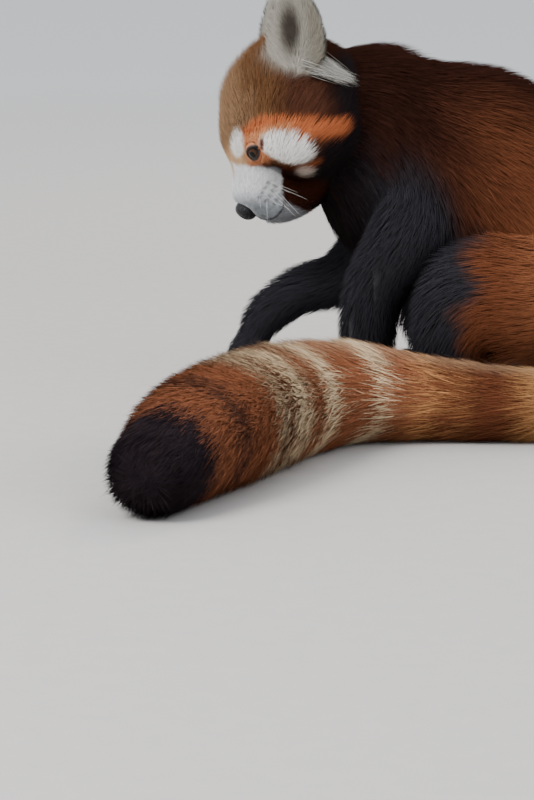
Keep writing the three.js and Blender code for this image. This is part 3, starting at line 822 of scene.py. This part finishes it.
class Coat:
    """What the coat does at each vertex of the skin: its way, length, depth, width, density and colour."""

    def __init__(self, skin, edges):
        mesh = skin.data
        self.places = places_of(mesh)
        self.normals = unit(read(mesh.vertices, "normal", 3).astype(float))
        self.facts, self.weights = read_parts(self.places)
        self.local = in_head(self.places)
        self.edges = edges
        self.read_sizes()
        self.read_ways()
        self.colour = markings(self.places, self.normals)
        self.find_faces(mesh)

    def scale(self, mask, **shares):
        """Makes the named sizes larger by a share where the mask is 1."""
        for size, share in shares.items():
            setattr(self, size, getattr(self, size) * (1 + share * mask))

    def read_sizes(self):
        for size in ("length", "depth", "width", "density"):
            setattr(self, size, sum(COATS[name][size] * self.weights[name] for name in COATS))
        f, u, l = self.local.T
        head, spine, tail = (self.weights[name] for name in ("head", "spine", "tail"))
        cheek = head * smooth(np.abs(l), 30, 46) * smooth(f, 34, 8) * smooth(u, 16, -6)
        nape = spine * smooth(self.places[:, 0], 0, -35) * smooth(self.normals[:, 2], 0.2, 0.7)
        self.scale(head * smooth(f, 36, 58), length=-0.5, depth=-0.6, width=-0.4, density=1.1)
        self.scale(cheek, length=1.1, depth=1.0)
        self.scale(head * smooth(u, 28, 44) * smooth(f, 44, 14), length=0.5, depth=1.1)
        self.scale(head * smooth(f, 0, -30), length=0.5)
        self.scale(nape, length=0.2, depth=0.35)
        radius = curve(limbs["tail"].halves, self.facts["tail"]["t"])[:, 0]
        self.depth = self.depth * (1 - tail) + tail * radius * (1 - TAIL_BONE)
        self.scale(tail * smooth(self.facts["tail"]["t"], 0.75, 1.0), length=-0.2, depth=-0.3, density=0.7)
        for side in (LEFT, RIGHT):
            gap = np.linalg.norm(self.places - eye_place(side)[0], axis=1)
            self.scale(smooth(gap, 22, 10), length=-0.62, depth=-0.55)
            self.density *= smooth(gap, EYE_RADIUS + 0.9, EYE_RADIUS + 1.8)
        from_nose = (self.places - head_place(NOSE_AT)) @ HEAD_WAYS.T
        nose = np.linalg.norm(from_nose / (np.array(NOSE_HALF) + 0.4), axis=1)
        self.density *= smooth(nose, 0.98, 1.12)
        self.density *= smooth(self.places[:, 2], 0.6, 3.5)

    def read_ways(self):
        way = np.zeros_like(self.places)
        for name, facts in self.facts.items():
            way += facts["tangent"] * self.weights[name][:, None]
        way[:, 2] -= 0.35 * self.weights["spine"]
        for foot in FEET.values():
            near = smooth(np.linalg.norm(self.places - foot.heel, axis=1), 100, 60)
            way += foot.ahead * (near * self.weights["feet"])[:, None]
        from_nose = unit(self.places - head_place((96, -2, 0)))
        way += from_nose * self.weights["head"][:, None]
        for ear in ears:
            cup = ear.local(self.places)
            mine = self.weights["ears"] * smooth(np.linalg.norm(cup, axis=1), 2.6, 1.6)
            lean = unit(ear.across * (0.9 * cup[:, :1]) + ear.rise * (cup[:, 1:2] + 0.8))
            way += lean * mine[:, None]
        way -= self.normals * (way * self.normals).sum(1)[:, None]
        way = unit(way)
        for _ in range(WAY_ROUNDS):
            way = way + averaged(way, self.edges, len(way))
            way -= self.normals * (way * self.normals).sum(1)[:, None]
            way = unit(way)
        self.way = way

    def find_faces(self, mesh):
        mesh.calc_loop_triangles()
        self.corners = read(mesh.loop_triangles, "vertices", 3, np.int32)
        loops = read(mesh.loop_triangles, "loops", 3, np.int32)
        self.uv = read(mesh.uv_layers["OFBake"].data, "uv", 2)[loops]
        a, b, c = (self.places[self.corners[:, k]] for k in range(3))
        self.area = np.linalg.norm(np.cross(b - a, c - a), axis=1) / 2
        table = np.stack([self.weights[name] for name in self.weights])
        self.names = list(self.weights)
        self.owner = table[:, self.corners[:, 0]].argmax(0)

    def uv_near(self, places):
        """The unwrap's places nearest to the given places."""
        middles = self.places[self.corners].mean(1)
        near = np.nonzero(np.isin(self.owner, [self.names.index("ears"), self.names.index("head")]))[0]
        found = [near[((middles[near] - place) ** 2).sum(1).argmin()] for place in places]
        return self.uv[found].mean(1)

    def roots(self, owners, seed, share=1.0):
        """Random roots on the faces of the named parts, with everything known there."""
        random = np.random.default_rng(seed)
        chosen = np.isin(self.owner, [self.names.index(name) for name in owners])
        load = self.area * self.density[self.corners].mean(1) * chosen * share
        total = int(load.sum())
        faces = np.searchsorted(np.cumsum(load), random.random(total) * load.sum())
        faces = np.minimum(faces, len(load) - 1)
        u, v = random.random((2, total))
        flip = u + v > 1
        u[flip], v[flip] = 1 - u[flip], 1 - v[flip]
        bary = np.stack([1 - u - v, u, v], 1)
        corner = self.corners[faces]

        def at(values):
            found = values[corner]
            return (found * (bary if found.ndim == 2 else bary[..., None])).sum(1)

        return {
            "place": at(self.places), "normal": unit(at(self.normals)), "way": unit(at(self.way)),
            "length": at(self.length), "depth": at(self.depth), "width": at(self.width),
            "uv": (self.uv[faces] * bary[..., None]).sum(1), "random": random,
        }


# How far along a tuft its rings are, how wide they are, and how much lighter than its colour: darker at the
# root as painted shade between the tufts, and lighter at the tip as painted light
RINGS = {
    1: ((0, 1.0, 0.8), (1, 0, 1.08)),
    2: ((0, 1.0, 0.65), (0.5, 0.8, 0.95), (1, 0, 1.1)),
    3: ((0, 1, 0.7), (0.35, 0.95, 0.9), (0.7, 0.6, 1.0), (1, 0, 1.1)),
}


def clumped(places, tips, size, strength):
    """Draws the tips of neighbouring tufts together, as fur gathers into locks."""
    cell = np.floor(places / size).astype(np.int64)
    key = cell[:, 0] * 73856093 ^ cell[:, 1] * 19349663 ^ cell[:, 2] * 83492791
    _, group = np.unique(key, return_inverse=True)
    number = np.bincount(group)
    mean = np.stack([np.bincount(group, weights=tips[:, k]) / number for k in range(3)], 1)
    return tips + (mean[group] - tips) * strength


def grow_coat(
    name, roots, replaced, rings=2, clump=(7, 0.35), lean=0.12, fine=1.0, lift=0.0, spread=0.0,
):
    """Closed three-sided tufts from the roots, joined in pieces small enough to keep their triangles."""
    random = roots["random"]
    count = len(roots["place"])
    normal, way = roots["normal"], roots["way"]
    side = np.cross(normal, way)
    way = unit(way + side * random.normal(0, lean, count)[:, None])
    side = np.cross(normal, way)
    length = roots["length"] * random.uniform(0.72, 1.12, count)
    height = roots["depth"] * random.uniform(0.55, 1.0, count)
    flat = np.sqrt(np.maximum(length**2 - height**2, (0.3 * length) ** 2))
    width = roots["width"] * random.uniform(0.75, 1.25, count) * fine
    tips = roots["place"] + way * flat[:, None] + normal * height[:, None]
    drawn = clumped(roots["place"], tips, *clump) - tips
    if "colour" not in roots:
        along = 0.5 * flat + random.normal(0, 1, count) * spread
        shown = roots["place"] + way * along[:, None] + normal * (0.6 * height)[:, None]
        roots["colour"] = markings(shown, normal)
    tone = random.normal(1, 0.12, count)
    tone = np.where(random.random(count) < DARK_SHARE, tone * DARK_TONE, tone)
    levels = RINGS[rings]
    verts, colours, normals, uvs = [], [], [], []
    for u, wide, light in levels:
        rise = lift + (1 - lift) * (1 - (1 - u) ** 1.7)
        middle = (roots["place"] - normal * (ROOT_DEPTH * (1 - u)) + way * (flat * u)[:, None]
                  + normal * (height * rise)[:, None] + drawn * u**1.5)
        # The tuft's colour with painted shade at its root and painted light at its tip
        colour = np.clip(roots["colour"] * (tone * light)[:, None], 0, 1)
        facing = unit(normal + way * 0.2)
        for across, above in ([(0, 0)] if u == 1 else [(-0.5, 0), (0.5, 0), (0, 0.4)]):
            aside = side * (across * wide * width)[:, None]
            verts.append(middle + aside + normal * (above * wide * width)[:, None])
            normals.append(unit(facing + side * (across * 0.55)))
            colours.append(colour)
            uvs.append(roots["uv"] + np.array([across * UV_STEP, (u - 0.5) * UV_STEP]))
    per = len(verts)
    verts, normals, colours, uvs = (np.stack(part, 1) for part in (verts, normals, colours, uvs))
    verts[..., 2] = np.maximum(verts[..., 2], FUR_LOWEST)
    template = [(0, 2, 1)]
    for ring in range(len(levels) - 2):
        for k in range(3):
            a, b = ring * 3 + k, ring * 3 + (k + 1) % 3
            template += [(a, b, b + 3), (a, b + 3, a + 3)]
    top = (len(levels) - 2) * 3
    template += [(top + k, top + (k + 1) % 3, per - 1) for k in range(3)]
    template = np.array(template)
    pieces = max(1, math.ceil(count / (PIECE_TRIANGLES // len(template))))
    order = np.argsort(roots["place"][:, 0] + roots["place"][:, 1] * 1e-3)
    for index, chosen in enumerate(np.array_split(order, pieces)):
        label = name if pieces == 1 else f"{name}_{index + 1}"
        mesh = tuft_mesh(label, verts[chosen], template, normals[chosen], colours[chosen], uvs[chosen])
        piece = new_object(label, mesh, fur)
        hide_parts(*replaced)


def tuft_mesh(name, verts, template, normals, colours, uvs):
    """One mesh of many tufts, which all have the template's triangles."""
    count, per = verts.shape[:2]
    triangles = (np.arange(count)[:, None, None] * per + template[None]).reshape(-1, 3)
    mesh = bpy.data.meshes.new(name)
    mesh.vertices.add(count * per)
    mesh.vertices.foreach_set("co", in_model(verts.reshape(-1, 3)).astype(np.float32).ravel())
    mesh.loops.add(len(triangles) * 3)
    mesh.loops.foreach_set("vertex_index", triangles.astype(np.int32).ravel())
    mesh.polygons.add(len(triangles))
    mesh.polygons.foreach_set("loop_start", np.arange(0, len(triangles) * 3, 3, dtype=np.int32))
    mesh.update(calc_edges=True)
    mesh.polygons.foreach_set("use_smooth", np.ones(len(triangles), bool))
    paint_vertices(mesh, colours.reshape(-1, 3))
    uv = mesh.uv_layers.new(name="OFBake")
    uv.data.foreach_set("uv", uvs.reshape(-1, 2)[triangles.ravel()].astype(np.float32).ravel())
    mesh.normals_split_custom_set_from_vertices(normals.reshape(-1, 3))
    return mesh


# Materials


class Value:
    """A shader socket that takes part in arithmetic."""

    def __init__(self, finish, socket):
        self.finish = finish
        self.socket = socket

    def _math(self, operation, first, second):
        return self.finish.node("ShaderNodeMath", {"operation": operation}, {0: first, 1: second})

    def __add__(self, other):
        return self._math("ADD", self, other)

    __radd__ = __add__

    def __sub__(self, other):
        return self._math("SUBTRACT", self, other)

    def __rsub__(self, other):
        return self._math("SUBTRACT", other, self)

    def __mul__(self, other):
        return self._math("MULTIPLY", self, other)

    __rmul__ = __mul__


class Finish:
    """A material with one Principled shader."""

    def __init__(self, name, **steady):
        self.material = bpy.data.materials.new(name)
        self.material.use_nodes = True
        self.nodes = self.material.node_tree.nodes
        self.links = self.material.node_tree.links
        self.shader = self.nodes["Principled BSDF"]
        for socket, value in steady.items():
            self.shader.inputs[socket.replace("_", " ")].default_value = value

    def put(self, socket, value):
        if isinstance(value, Value):
            self.links.new(value.socket, socket)
        else:
            socket.default_value = value

    def node(self, kind, settings=None, sockets=None, output=0):
        made = self.nodes.new(kind)
        for key, value in (settings or {}).items():
            if key == "stops":
                ramp = made.color_ramp
                for index, (spot_at, colour) in enumerate(value):
                    stop = ramp.elements[index] if index < 2 else ramp.elements.new(spot_at)
                    stop.position = spot_at
                    stop.color = colour
            else:
                setattr(made, key, value)
        for key, value in (sockets or {}).items():
            self.put(made.inputs[key], value)
        return Value(self, made.outputs[output])

    def place(self):
        return self.node("ShaderNodeTexCoord", output="Object")

    def stored(self, name="Fur", output="Color"):
        """What is stored on the vertices under a name."""
        return self.node("ShaderNodeAttribute", {"attribute_name": name}, output=output)

    def noise(self, scale, detail=3.0):
        sockets = {"Vector": self.place(), "Scale": scale, "Detail": detail}
        return self.node("ShaderNodeTexNoise", None, sockets)

    def mixed(self, factor, first, second):
        made = self.nodes.new("ShaderNodeMix")
        made.data_type = "RGBA"
        for index, value in ((0, factor), (6, first), (7, second)):
            self.put(made.inputs[index], value)
        return Value(self, made.outputs[2])

    def set(self, socket, value):
        self.put(self.shader.inputs[socket], value)

    def bump(self, height, strength, distance):
        self.set("Normal", self.node(
            "ShaderNodeBump", None, {"Strength": strength, "Distance": distance, "Height": height},
        ))


def fur_finish():
    """Fur whose colour is painted on its vertices, with a slow change of shade over it."""
    fur = Finish("fur", Specular_IOR_Level=0.0)
    painted = fur.stored()
    shade = fur.noise(45.0)
    fur.set("Base Color", fur.mixed(0.22 * shade, painted, (0.02, 0.012, 0.008, 1)))
    fur.set("Roughness", 0.58 + 0.25 * shade)
    return fur.material


def skin_finish():
    """The short dense underfur close to the skin."""
    skin = Finish("underfur", Sheen_Weight=0.1, Specular_IOR_Level=0.2)
    painted = skin.stored()
    strands = skin.noise(900.0, 4.0)
    skin.set("Base Color", skin.mixed(0.1 + 0.3 * strands, painted, (0.015, 0.01, 0.008, 1)))
    skin.set("Roughness", 0.75 + 0.15 * strands)
    skin.bump(strands, 0.5, 0.0008)
    return skin.material


def eye_finish():
    """Wet dark eyes: a deep brown iris round a black pupil."""
    eye = Finish("wet_eye", Coat_Weight=0.1, Coat_Roughness=0.02, Specular_IOR_Level=0.12)
    ring = eye.stored("Ring", "Fac")
    fibres = eye.noise(1600.0)
    tone = eye.node("ShaderNodeValToRGB", {"stops": [
        (0.0, (0.002, 0.002, 0.002, 1)), (0.4, (0.002, 0.002, 0.002, 1)), (0.5, (0.05, 0.02, 0.008, 1)),
        (0.78, (0.022, 0.009, 0.005, 1)), (0.88, (0.003, 0.002, 0.002, 1)),
    ]}, {"Fac": ring + 0.06 * fibres})
    eye.set("Base Color", tone)
    eye.set("Roughness", 0.08 + 0.1 * fibres)
    return eye.material


def leather_finish(name, colour, scale, roughness, bump):
    """Bare damp skin with a fine pebbled grain."""
    skin = Finish(name, Specular_IOR_Level=0.3)
    sockets = {"Vector": skin.place(), "Scale": scale}
    cells = skin.node("ShaderNodeTexVoronoi", None, sockets, output="Distance")
    cloud = skin.noise(scale * 0.25)
    skin.set("Base Color", skin.mixed(cloud * 0.7, (*colour, 1), tuple(0.35 * c for c in colour) + (1,)))
    skin.set("Roughness", roughness + 0.25 * cloud)
    skin.bump(cells, bump, 0.0006)
    return skin.material


def lid_finish():
    """Fine short hair on the lids that ends in a bare moist rim."""
    lid = Finish("lids", Specular_IOR_Level=0.4)
    painted = lid.stored()
    grain = lid.noise(1500.0)
    lid.set("Base Color", lid.mixed(0.4 * grain, painted, (0.02, 0.012, 0.01, 1)))
    lid.set("Roughness", 0.35 + 0.4 * grain)
    lid.bump(grain, 0.4, 0.0004)
    return lid.material


def claw_finish():
    """Brown horn, mottled by a fine grain."""
    claw = Finish("claw_horn", Specular_IOR_Level=0.5)
    grain = claw.noise(700.0)
    claw.set("Base Color", claw.mixed(grain, (0.2, 0.16, 0.12, 1), (0.09, 0.07, 0.05, 1)))
    claw.set("Roughness", 0.28 + 0.2 * grain)
    return claw.material


def floor_finish():
    """Pale and matt, and lighter far off, where the lamps reach it less."""
    floor = Finish("pale_floor", Specular_IOR_Level=0.25)
    grain = floor.noise(60.0)
    away = floor.node("ShaderNodeVectorMath", {"operation": "LENGTH"}, {0: floor.place()}, output="Value")
    near = floor.mixed(grain, (0.52, 0.505, 0.485, 1), (0.47, 0.455, 0.44, 1))
    floor.set("Base Color", floor.mixed((away - 1.0) * 0.25, near, (0.72, 0.71, 0.69, 1)))
    floor.set("Roughness", 0.7 + 0.2 * grain)
    return floor.material


# Face details


def finished(name, bm, material, replaced=()):
    piece = new_object(name, smooth_mesh(name, bm), material)
    if replaced:
        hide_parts(*replaced)
    return piece


def make_eye(side, material):
    centre, out = eye_place(side)
    ways = HEAD_WAYS[[2, 0, 1]]
    bm = ellipsoid_ball(centre, ways, [EYE_RADIUS] * 3, 48, 32)
    label = "left" if side == LEFT else "right"
    piece = finished(f"eyeball_{label}", bm, material, [f"eye_{label}"])
    gaze = unit(out + 0.15 * FORWARD)
    offset = unit(places_of(piece.data) - centre)
    ring = np.degrees(np.arccos(np.clip(offset @ gaze, -1, 1))) / 48
    layer = piece.data.attributes.new("Ring", "FLOAT", "POINT")
    layer.data.foreach_set("value", ring.astype(np.float32))


def tube(points, radii, sides=6):
    """A closed tapering tube along points."""
    points = np.asarray(points, float)
    count = len(points)
    tangents = unit(np.gradient(points, axis=0))
    start = np.array([0.3, 0.2, 0.9])

    def shape(down, turn, ball):
        row = np.rint(down / math.pi * (count + 1)).astype(int) - 1
        spot_at = np.clip(row, 0, count - 1)
        tangent = tangents[spot_at]
        side = unit(np.cross(tangent, start))
        over = np.cross(tangent, side)
        reach = np.where((row < 0) | (row >= count), 0, np.asarray(radii)[spot_at])
        return (points[spot_at] + side * (np.cos(turn) * reach)[:, None]
                + over * (np.sin(turn) * reach)[:, None])

    return shaped_ball(sides, count + 1, shape)


def eyelid(side):
    """One eye's lids, a ring round its almond opening: a dark rim, and the fold that meets the skin."""
    centre, out = eye_place(side)
    inner = unit(np.array([1.0, 0.06, -0.35 * side]) @ HEAD_WAYS)
    inner = unit(inner - out * (inner @ out))
    over = np.cross(out, inner)
    over *= np.sign(over @ UPWARD)
    section = np.array([
        (0.0, -1.0, 0.02), (0.12, -0.5, 0.45), (0.26, 1.5, 0.85), (0.42, 5.0, 1.05), (0.6, 11.0, 1.1),
        (0.8, 20.0, 1.2), (1.0, 40.0, 1.0),
    ])
    bm = bmesh.new()
    bmesh.ops.create_grid(bm, x_segments=48, y_segments=14, size=1)
    fold = bm.verts.layers.float.new("Fold")
    for vert in bm.verts:
        turn = vert.co.x * math.pi
        s = (vert.co.y + 1) / 2
        vert[fold] = s
        along = 0.76 * math.cos(turn)
        high = math.sin(turn)
        up = (0.5 if high > 0 else 0.42) * math.copysign(abs(high) ** 1.2, high)
        up += 0.05 * math.cos(turn)
        way = inner * along + over * up
        opening = math.degrees(math.asin(min(0.98, float(np.linalg.norm(way)))))
        angle = math.radians(opening + np.interp(s, section[:, 0], section[:, 1]))
        reach = EYE_RADIUS + np.interp(s, section[:, 0], section[:, 2])
        direction = out * math.cos(angle) + unit(way) * math.sin(angle)
        vert.co = in_model(centre + direction * reach)
    bmesh.ops.remove_doubles(bm, verts=bm.verts, dist=1e-6)
    bmesh.ops.recalc_face_normals(bm, faces=bm.faces)
    middle = Vector(in_model(centre))
    if sum(face.normal.dot(face.calc_center_median() - middle) for face in bm.faces) < 0:
        bmesh.ops.reverse_faces(bm, faces=bm.faces)
    return bm


def make_lids(material):
    """Both eyes' lids, dark at the rim and coloured as the fur further out."""
    piece = finished("eyelids", joined([eyelid(side) for side in (LEFT, RIGHT)]), material)
    fold = read(piece.data.attributes["Fold"].data, "value", 1)[:, 0]
    colour = face_colours(places_of(piece.data))
    paint_vertices(piece.data, blend(colour, paint(30, 23, 21), smooth(fold, 0.82, 0.5)))


def make_nose(material):
    """The bare nose: broad, flat in front, with two comma-shaped nostrils and a groove between."""
    def shape(down, turn, ball):
        l, f, u = ball[:, 0], ball[:, 1], ball[:, 2]
        half = np.array(NOSE_HALF) + np.array([0.8, 1.0, 0.2])
        front = smooth(f, 0.1, 0.9)
        fuller = np.sign(ball) * np.abs(ball) ** 0.85
        local = np.stack([
            np.where(f > 0, 0.82 * np.clip(f, 0, 1) ** 0.75, f) * half[0],
            fuller[:, 2] * half[1] * (1 - 0.1 * front * (u < 0)),
            fuller[:, 0] * half[2] * (1 - 0.28 * smooth(u, 0.1, -0.9)),
        ], 1)
        for side in (LEFT, RIGHT):
            hole = np.sqrt(((l - 0.46 * side) / 0.23) ** 2 + ((u + 0.08) / 0.3) ** 2)
            slit = np.sqrt(((l - 0.72 * side) / 0.3) ** 2 + ((u + 0.3) / 0.13) ** 2)
            local[:, 0] -= (5.0 * smooth(hole, 1.1, 0.35) + 1.6 * smooth(slit, 1.1, 0.4)) * (f > 0)
        groove = np.exp(-((l / 0.07) ** 2)) * smooth(u, 0.2, -0.3) * (f > 0)
        local[:, 0] -= 1.4 * groove
        return head_place(local + np.array(NOSE_AT) + np.array([-1.5, 0.2, 0]))

    finished("nose_pad", shaped_ball(96, 64, shape), material, ["nose"])


def make_lips(material, count=48):
    """The dark lips along the mouth's line, and the groove from its middle up to the nose."""
    line = mouth_line(count)
    line = line - unit(line - head_place((45, -8, 0))) * 1.6
    radii = 0.4 + 0.7 * np.sin(np.linspace(0, math.pi, count)) ** 0.5
    down = np.linspace(0, 1, 8)[:, None]
    groove = head_place((84, -9, 0)) * (1 - down) + line[count // 2] * down
    tubes = [tube(line, radii, 8), tube(groove, np.full(len(groove), 0.8), 8)]
    finished("lips", joined(tubes), material)


def make_whiskers(material):
    random = np.random.default_rng(21)
    bms = []
    for way in whisker_ways():
        root = on_head(way, -1.5)
        out = unit(way @ HEAD_WAYS)
        aside = 0.5 * np.sign(way[2])
        lie = unit(out * 0.9 + (np.array([-0.75, -0.25, aside]) + random.normal(0, 0.16, 3)) @ HEAD_WAYS)
        length = random.uniform(18, 44)
        t = np.linspace(0, 1, 7)[:, None]
        sag = np.array([0, 0, -1.0]) * length * 0.16
        points = root + lie * length * t + sag * t**2 - FORWARD * length * 0.12 * t**2
        bms.append(tube(points, 0.16 * (1 - 0.8 * t[:, 0]), 4))
    finished("whiskers", joined(bms), material)


def make_claws(material):
    bms = []
    for foot in FEET.values():
        for spread, root in foot.toes(0.94):
            t = np.linspace(0, 1, 7)[:, None]
            points = (root + foot.ahead * 12 * t + foot.top * (1.5 * t - 7.5 * t**2)
                      + foot.across * spread * 1.5 * t)
            points[:, 2] = np.maximum(points[:, 2], 0.8)
            bms.append(tube(points, 2.3 * (1 - 0.93 * t[:, 0] ** 1.3), 8))
    finished("claws", joined(bms), material)


def ear_tufts(count=850):
    """Roots for the long pale tuft under the back of each ear, whose hairs draw together to a point."""
    found = []
    random = np.random.default_rng(31)
    for ear in ears:
        mirror = np.array([1, 1, ear.side])
        start = np.array([-38, 12, 49]) + random.normal(0, 1, (count, 3)) * [3.4, 3.6, 1.8]
        reach = 0.3 + 0.7 * random.random(count) ** 2
        aim = random.normal(0, 1, (count, 3)) * [4.0, 4.0, 2.5] * (1.15 - reach[:, None])
        aim += np.array([-43, -27, 56])
        lie = aim - start
        length = np.linalg.norm(lie, axis=1) * reach
        found.append({
            "place": head_place(start * mirror),
            "normal": np.tile(unit((np.array([0, 0.1, 1]) * mirror) @ HEAD_WAYS), (count, 1)),
            "way": unit((lie * mirror) @ HEAD_WAYS), "length": length, "depth": length * 0.14,
            "width": np.full(count, 0.27),
            "colour": paint(200, 197, 189) * random.uniform(0.35, 1.1, (count, 1)),
        })
    merged = {key: np.concatenate([part[key] for part in found]) for key in found[0]}
    merged["random"] = random
    return merged


# The skin and the coat

fur = fur_finish()
skin_material = skin_finish()
skin, skin_edges = make_skin(skin_material)
FLESH = [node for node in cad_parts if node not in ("nose", "eye_left", "eye_right")]
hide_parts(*FLESH)
coat = Coat(skin, skin_edges)
paint_vertices(skin.data, coat.colour)

LEGS = ["foreleg_left", "foreleg_right", "hindleg_left", "hindleg_right"]
TAILS = [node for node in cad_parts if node.startswith("tail")]
FEET_AND_LEGS = ["fore_left", "fore_right", "hind_left", "hind_right", "feet"]
BODY = ["torso", "neck"]
EARS = ["ear_left", "ear_right"]
grow_coat("coat_head", coat.roots(["head"], 1), ["head"], 1, (4, 0.25), lift=0.15)
grow_coat("coat_ears", coat.roots(["ears"], 2), EARS, 1, (4, 0.25))
grow_coat("coat_legs", coat.roots(FEET_AND_LEGS, 4), LEGS, 1, (6, 0.3), lift=0.2)
grow_coat("undercoat_body", coat.roots(["spine"], 3, 0.55), BODY, clump=(8, 0.3), spread=3)
grow_coat(
    "topcoat_body", coat.roots(["spine"], 6, 1.3), BODY, 1, (5, 0.25),
    fine=0.65, lift=0.42, spread=4,
)
grow_coat("undercoat_tail", coat.roots(["tail"], 5, 0.5), TAILS, 2, (9, 0.2), 0.15, spread=5)
grow_coat(
    "topcoat_tail", coat.roots(["tail"], 7, 1.4), TAILS, 1, (5, 0.2), 0.2,
    fine=0.65, lift=0.45, spread=7,
)
tufts = ear_tufts()
tufts["uv"] = coat.uv_near(tufts["place"])
grow_coat("ear_tufts", tufts, EARS, 3, (6, 0.25), 0.07)

# The bare parts of the face and feet

wet_eye = eye_finish()
nose_skin = leather_finish("nose_skin", (0.006, 0.006, 0.008), 1100, 0.25, 0.6)
lip_skin = leather_finish("lip_skin", (0.02, 0.02, 0.022), 900, 0.4, 0.3)
for side in (LEFT, RIGHT):
    make_eye(side, wet_eye)
make_lids(lid_finish())
make_nose(nose_skin)
make_lips(lip_skin)
whisker = Finish("whisker_hair", Roughness=0.4)
whisker.set("Base Color", whisker.mixed(whisker.noise(300.0), (0.75, 0.74, 0.72, 1), (0.5, 0.49, 0.47, 1)))
make_whiskers(whisker.material)
make_claws(claw_finish())

# The stage: a pale floor that rises far away, soft light and the camera

FLOOR_REACH = 44
FLOOR_FLAT = 24
FLOOR_RISE = 16


def make_floor():
    """A floor that is flat round the animal and rises far away on every side."""
    bm = bmesh.new()
    bmesh.ops.create_grid(bm, x_segments=80, y_segments=80, size=FLOOR_REACH)
    for vert in bm.verts:
        away = math.hypot(vert.co.x, vert.co.y)
        vert.co.z = FLOOR_RISE * float(smooth(away, FLOOR_FLAT, FLOOR_REACH))
    bmesh.ops.recalc_face_normals(bm, faces=bm.faces)
    mesh = smooth_mesh("floor", bm)
    floor = bpy.data.objects.new("floor", mesh)
    mesh.materials.append(floor_finish())
    bpy.context.collection.objects.link(floor)


def area_light(name, place, target, size, power, colour):
    data = bpy.data.lights.new(name, "AREA")
    data.size = size
    data.energy = power
    data.color = colour
    lamp = bpy.data.objects.new(name, data)
    lamp.location = place
    lamp.rotation_euler = (Vector(target) - Vector(place)).to_track_quat("-Z", "Y").to_euler()
    bpy.context.collection.objects.link(lamp)


make_floor()
middle = (0.0, 0.1, 0.12)
area_light("key", (-1.7, -1.6, 2.1), middle, 1.3, 105, (1.0, 0.98, 0.95))
area_light("fill", (1.8, -1.9, 1.2), middle, 2.2, 32, (0.93, 0.96, 1.0))
area_light("back", (1.0, 2.0, 2.2), middle, 1.0, 30, (1.0, 0.88, 0.72))
world = bpy.data.worlds.new("studio")
world.use_nodes = True
background = world.node_tree.nodes["Background"].inputs
background["Color"].default_value = (0.9, 0.94, 1.0, 1)
background["Strength"].default_value = 1.25
bpy.context.scene.world = world

CAMERA_DISTANCE = 2.0
CAMERA_RISE = math.radians(10)
CAMERA_TARGET = (-103.7, 0, 3)
PIXEL = 0.00078
IMAGE_HEIGHT = 800
SENSOR = 36
camera_data = bpy.data.cameras.new("camera")
camera_data.sensor_width = SENSOR
camera_data.lens = CAMERA_DISTANCE / PIXEL / IMAGE_HEIGHT * SENSOR
camera = bpy.data.objects.new("camera", camera_data)
target = Vector(in_model(CAMERA_TARGET))
camera.location = target + Vector((0, -math.cos(CAMERA_RISE), math.sin(CAMERA_RISE))) * CAMERA_DISTANCE
camera.rotation_euler = (target - camera.location).to_track_quat("-Z", "Y").to_euler()
bpy.context.collection.objects.link(camera)
bpy.context.scene.camera = camera
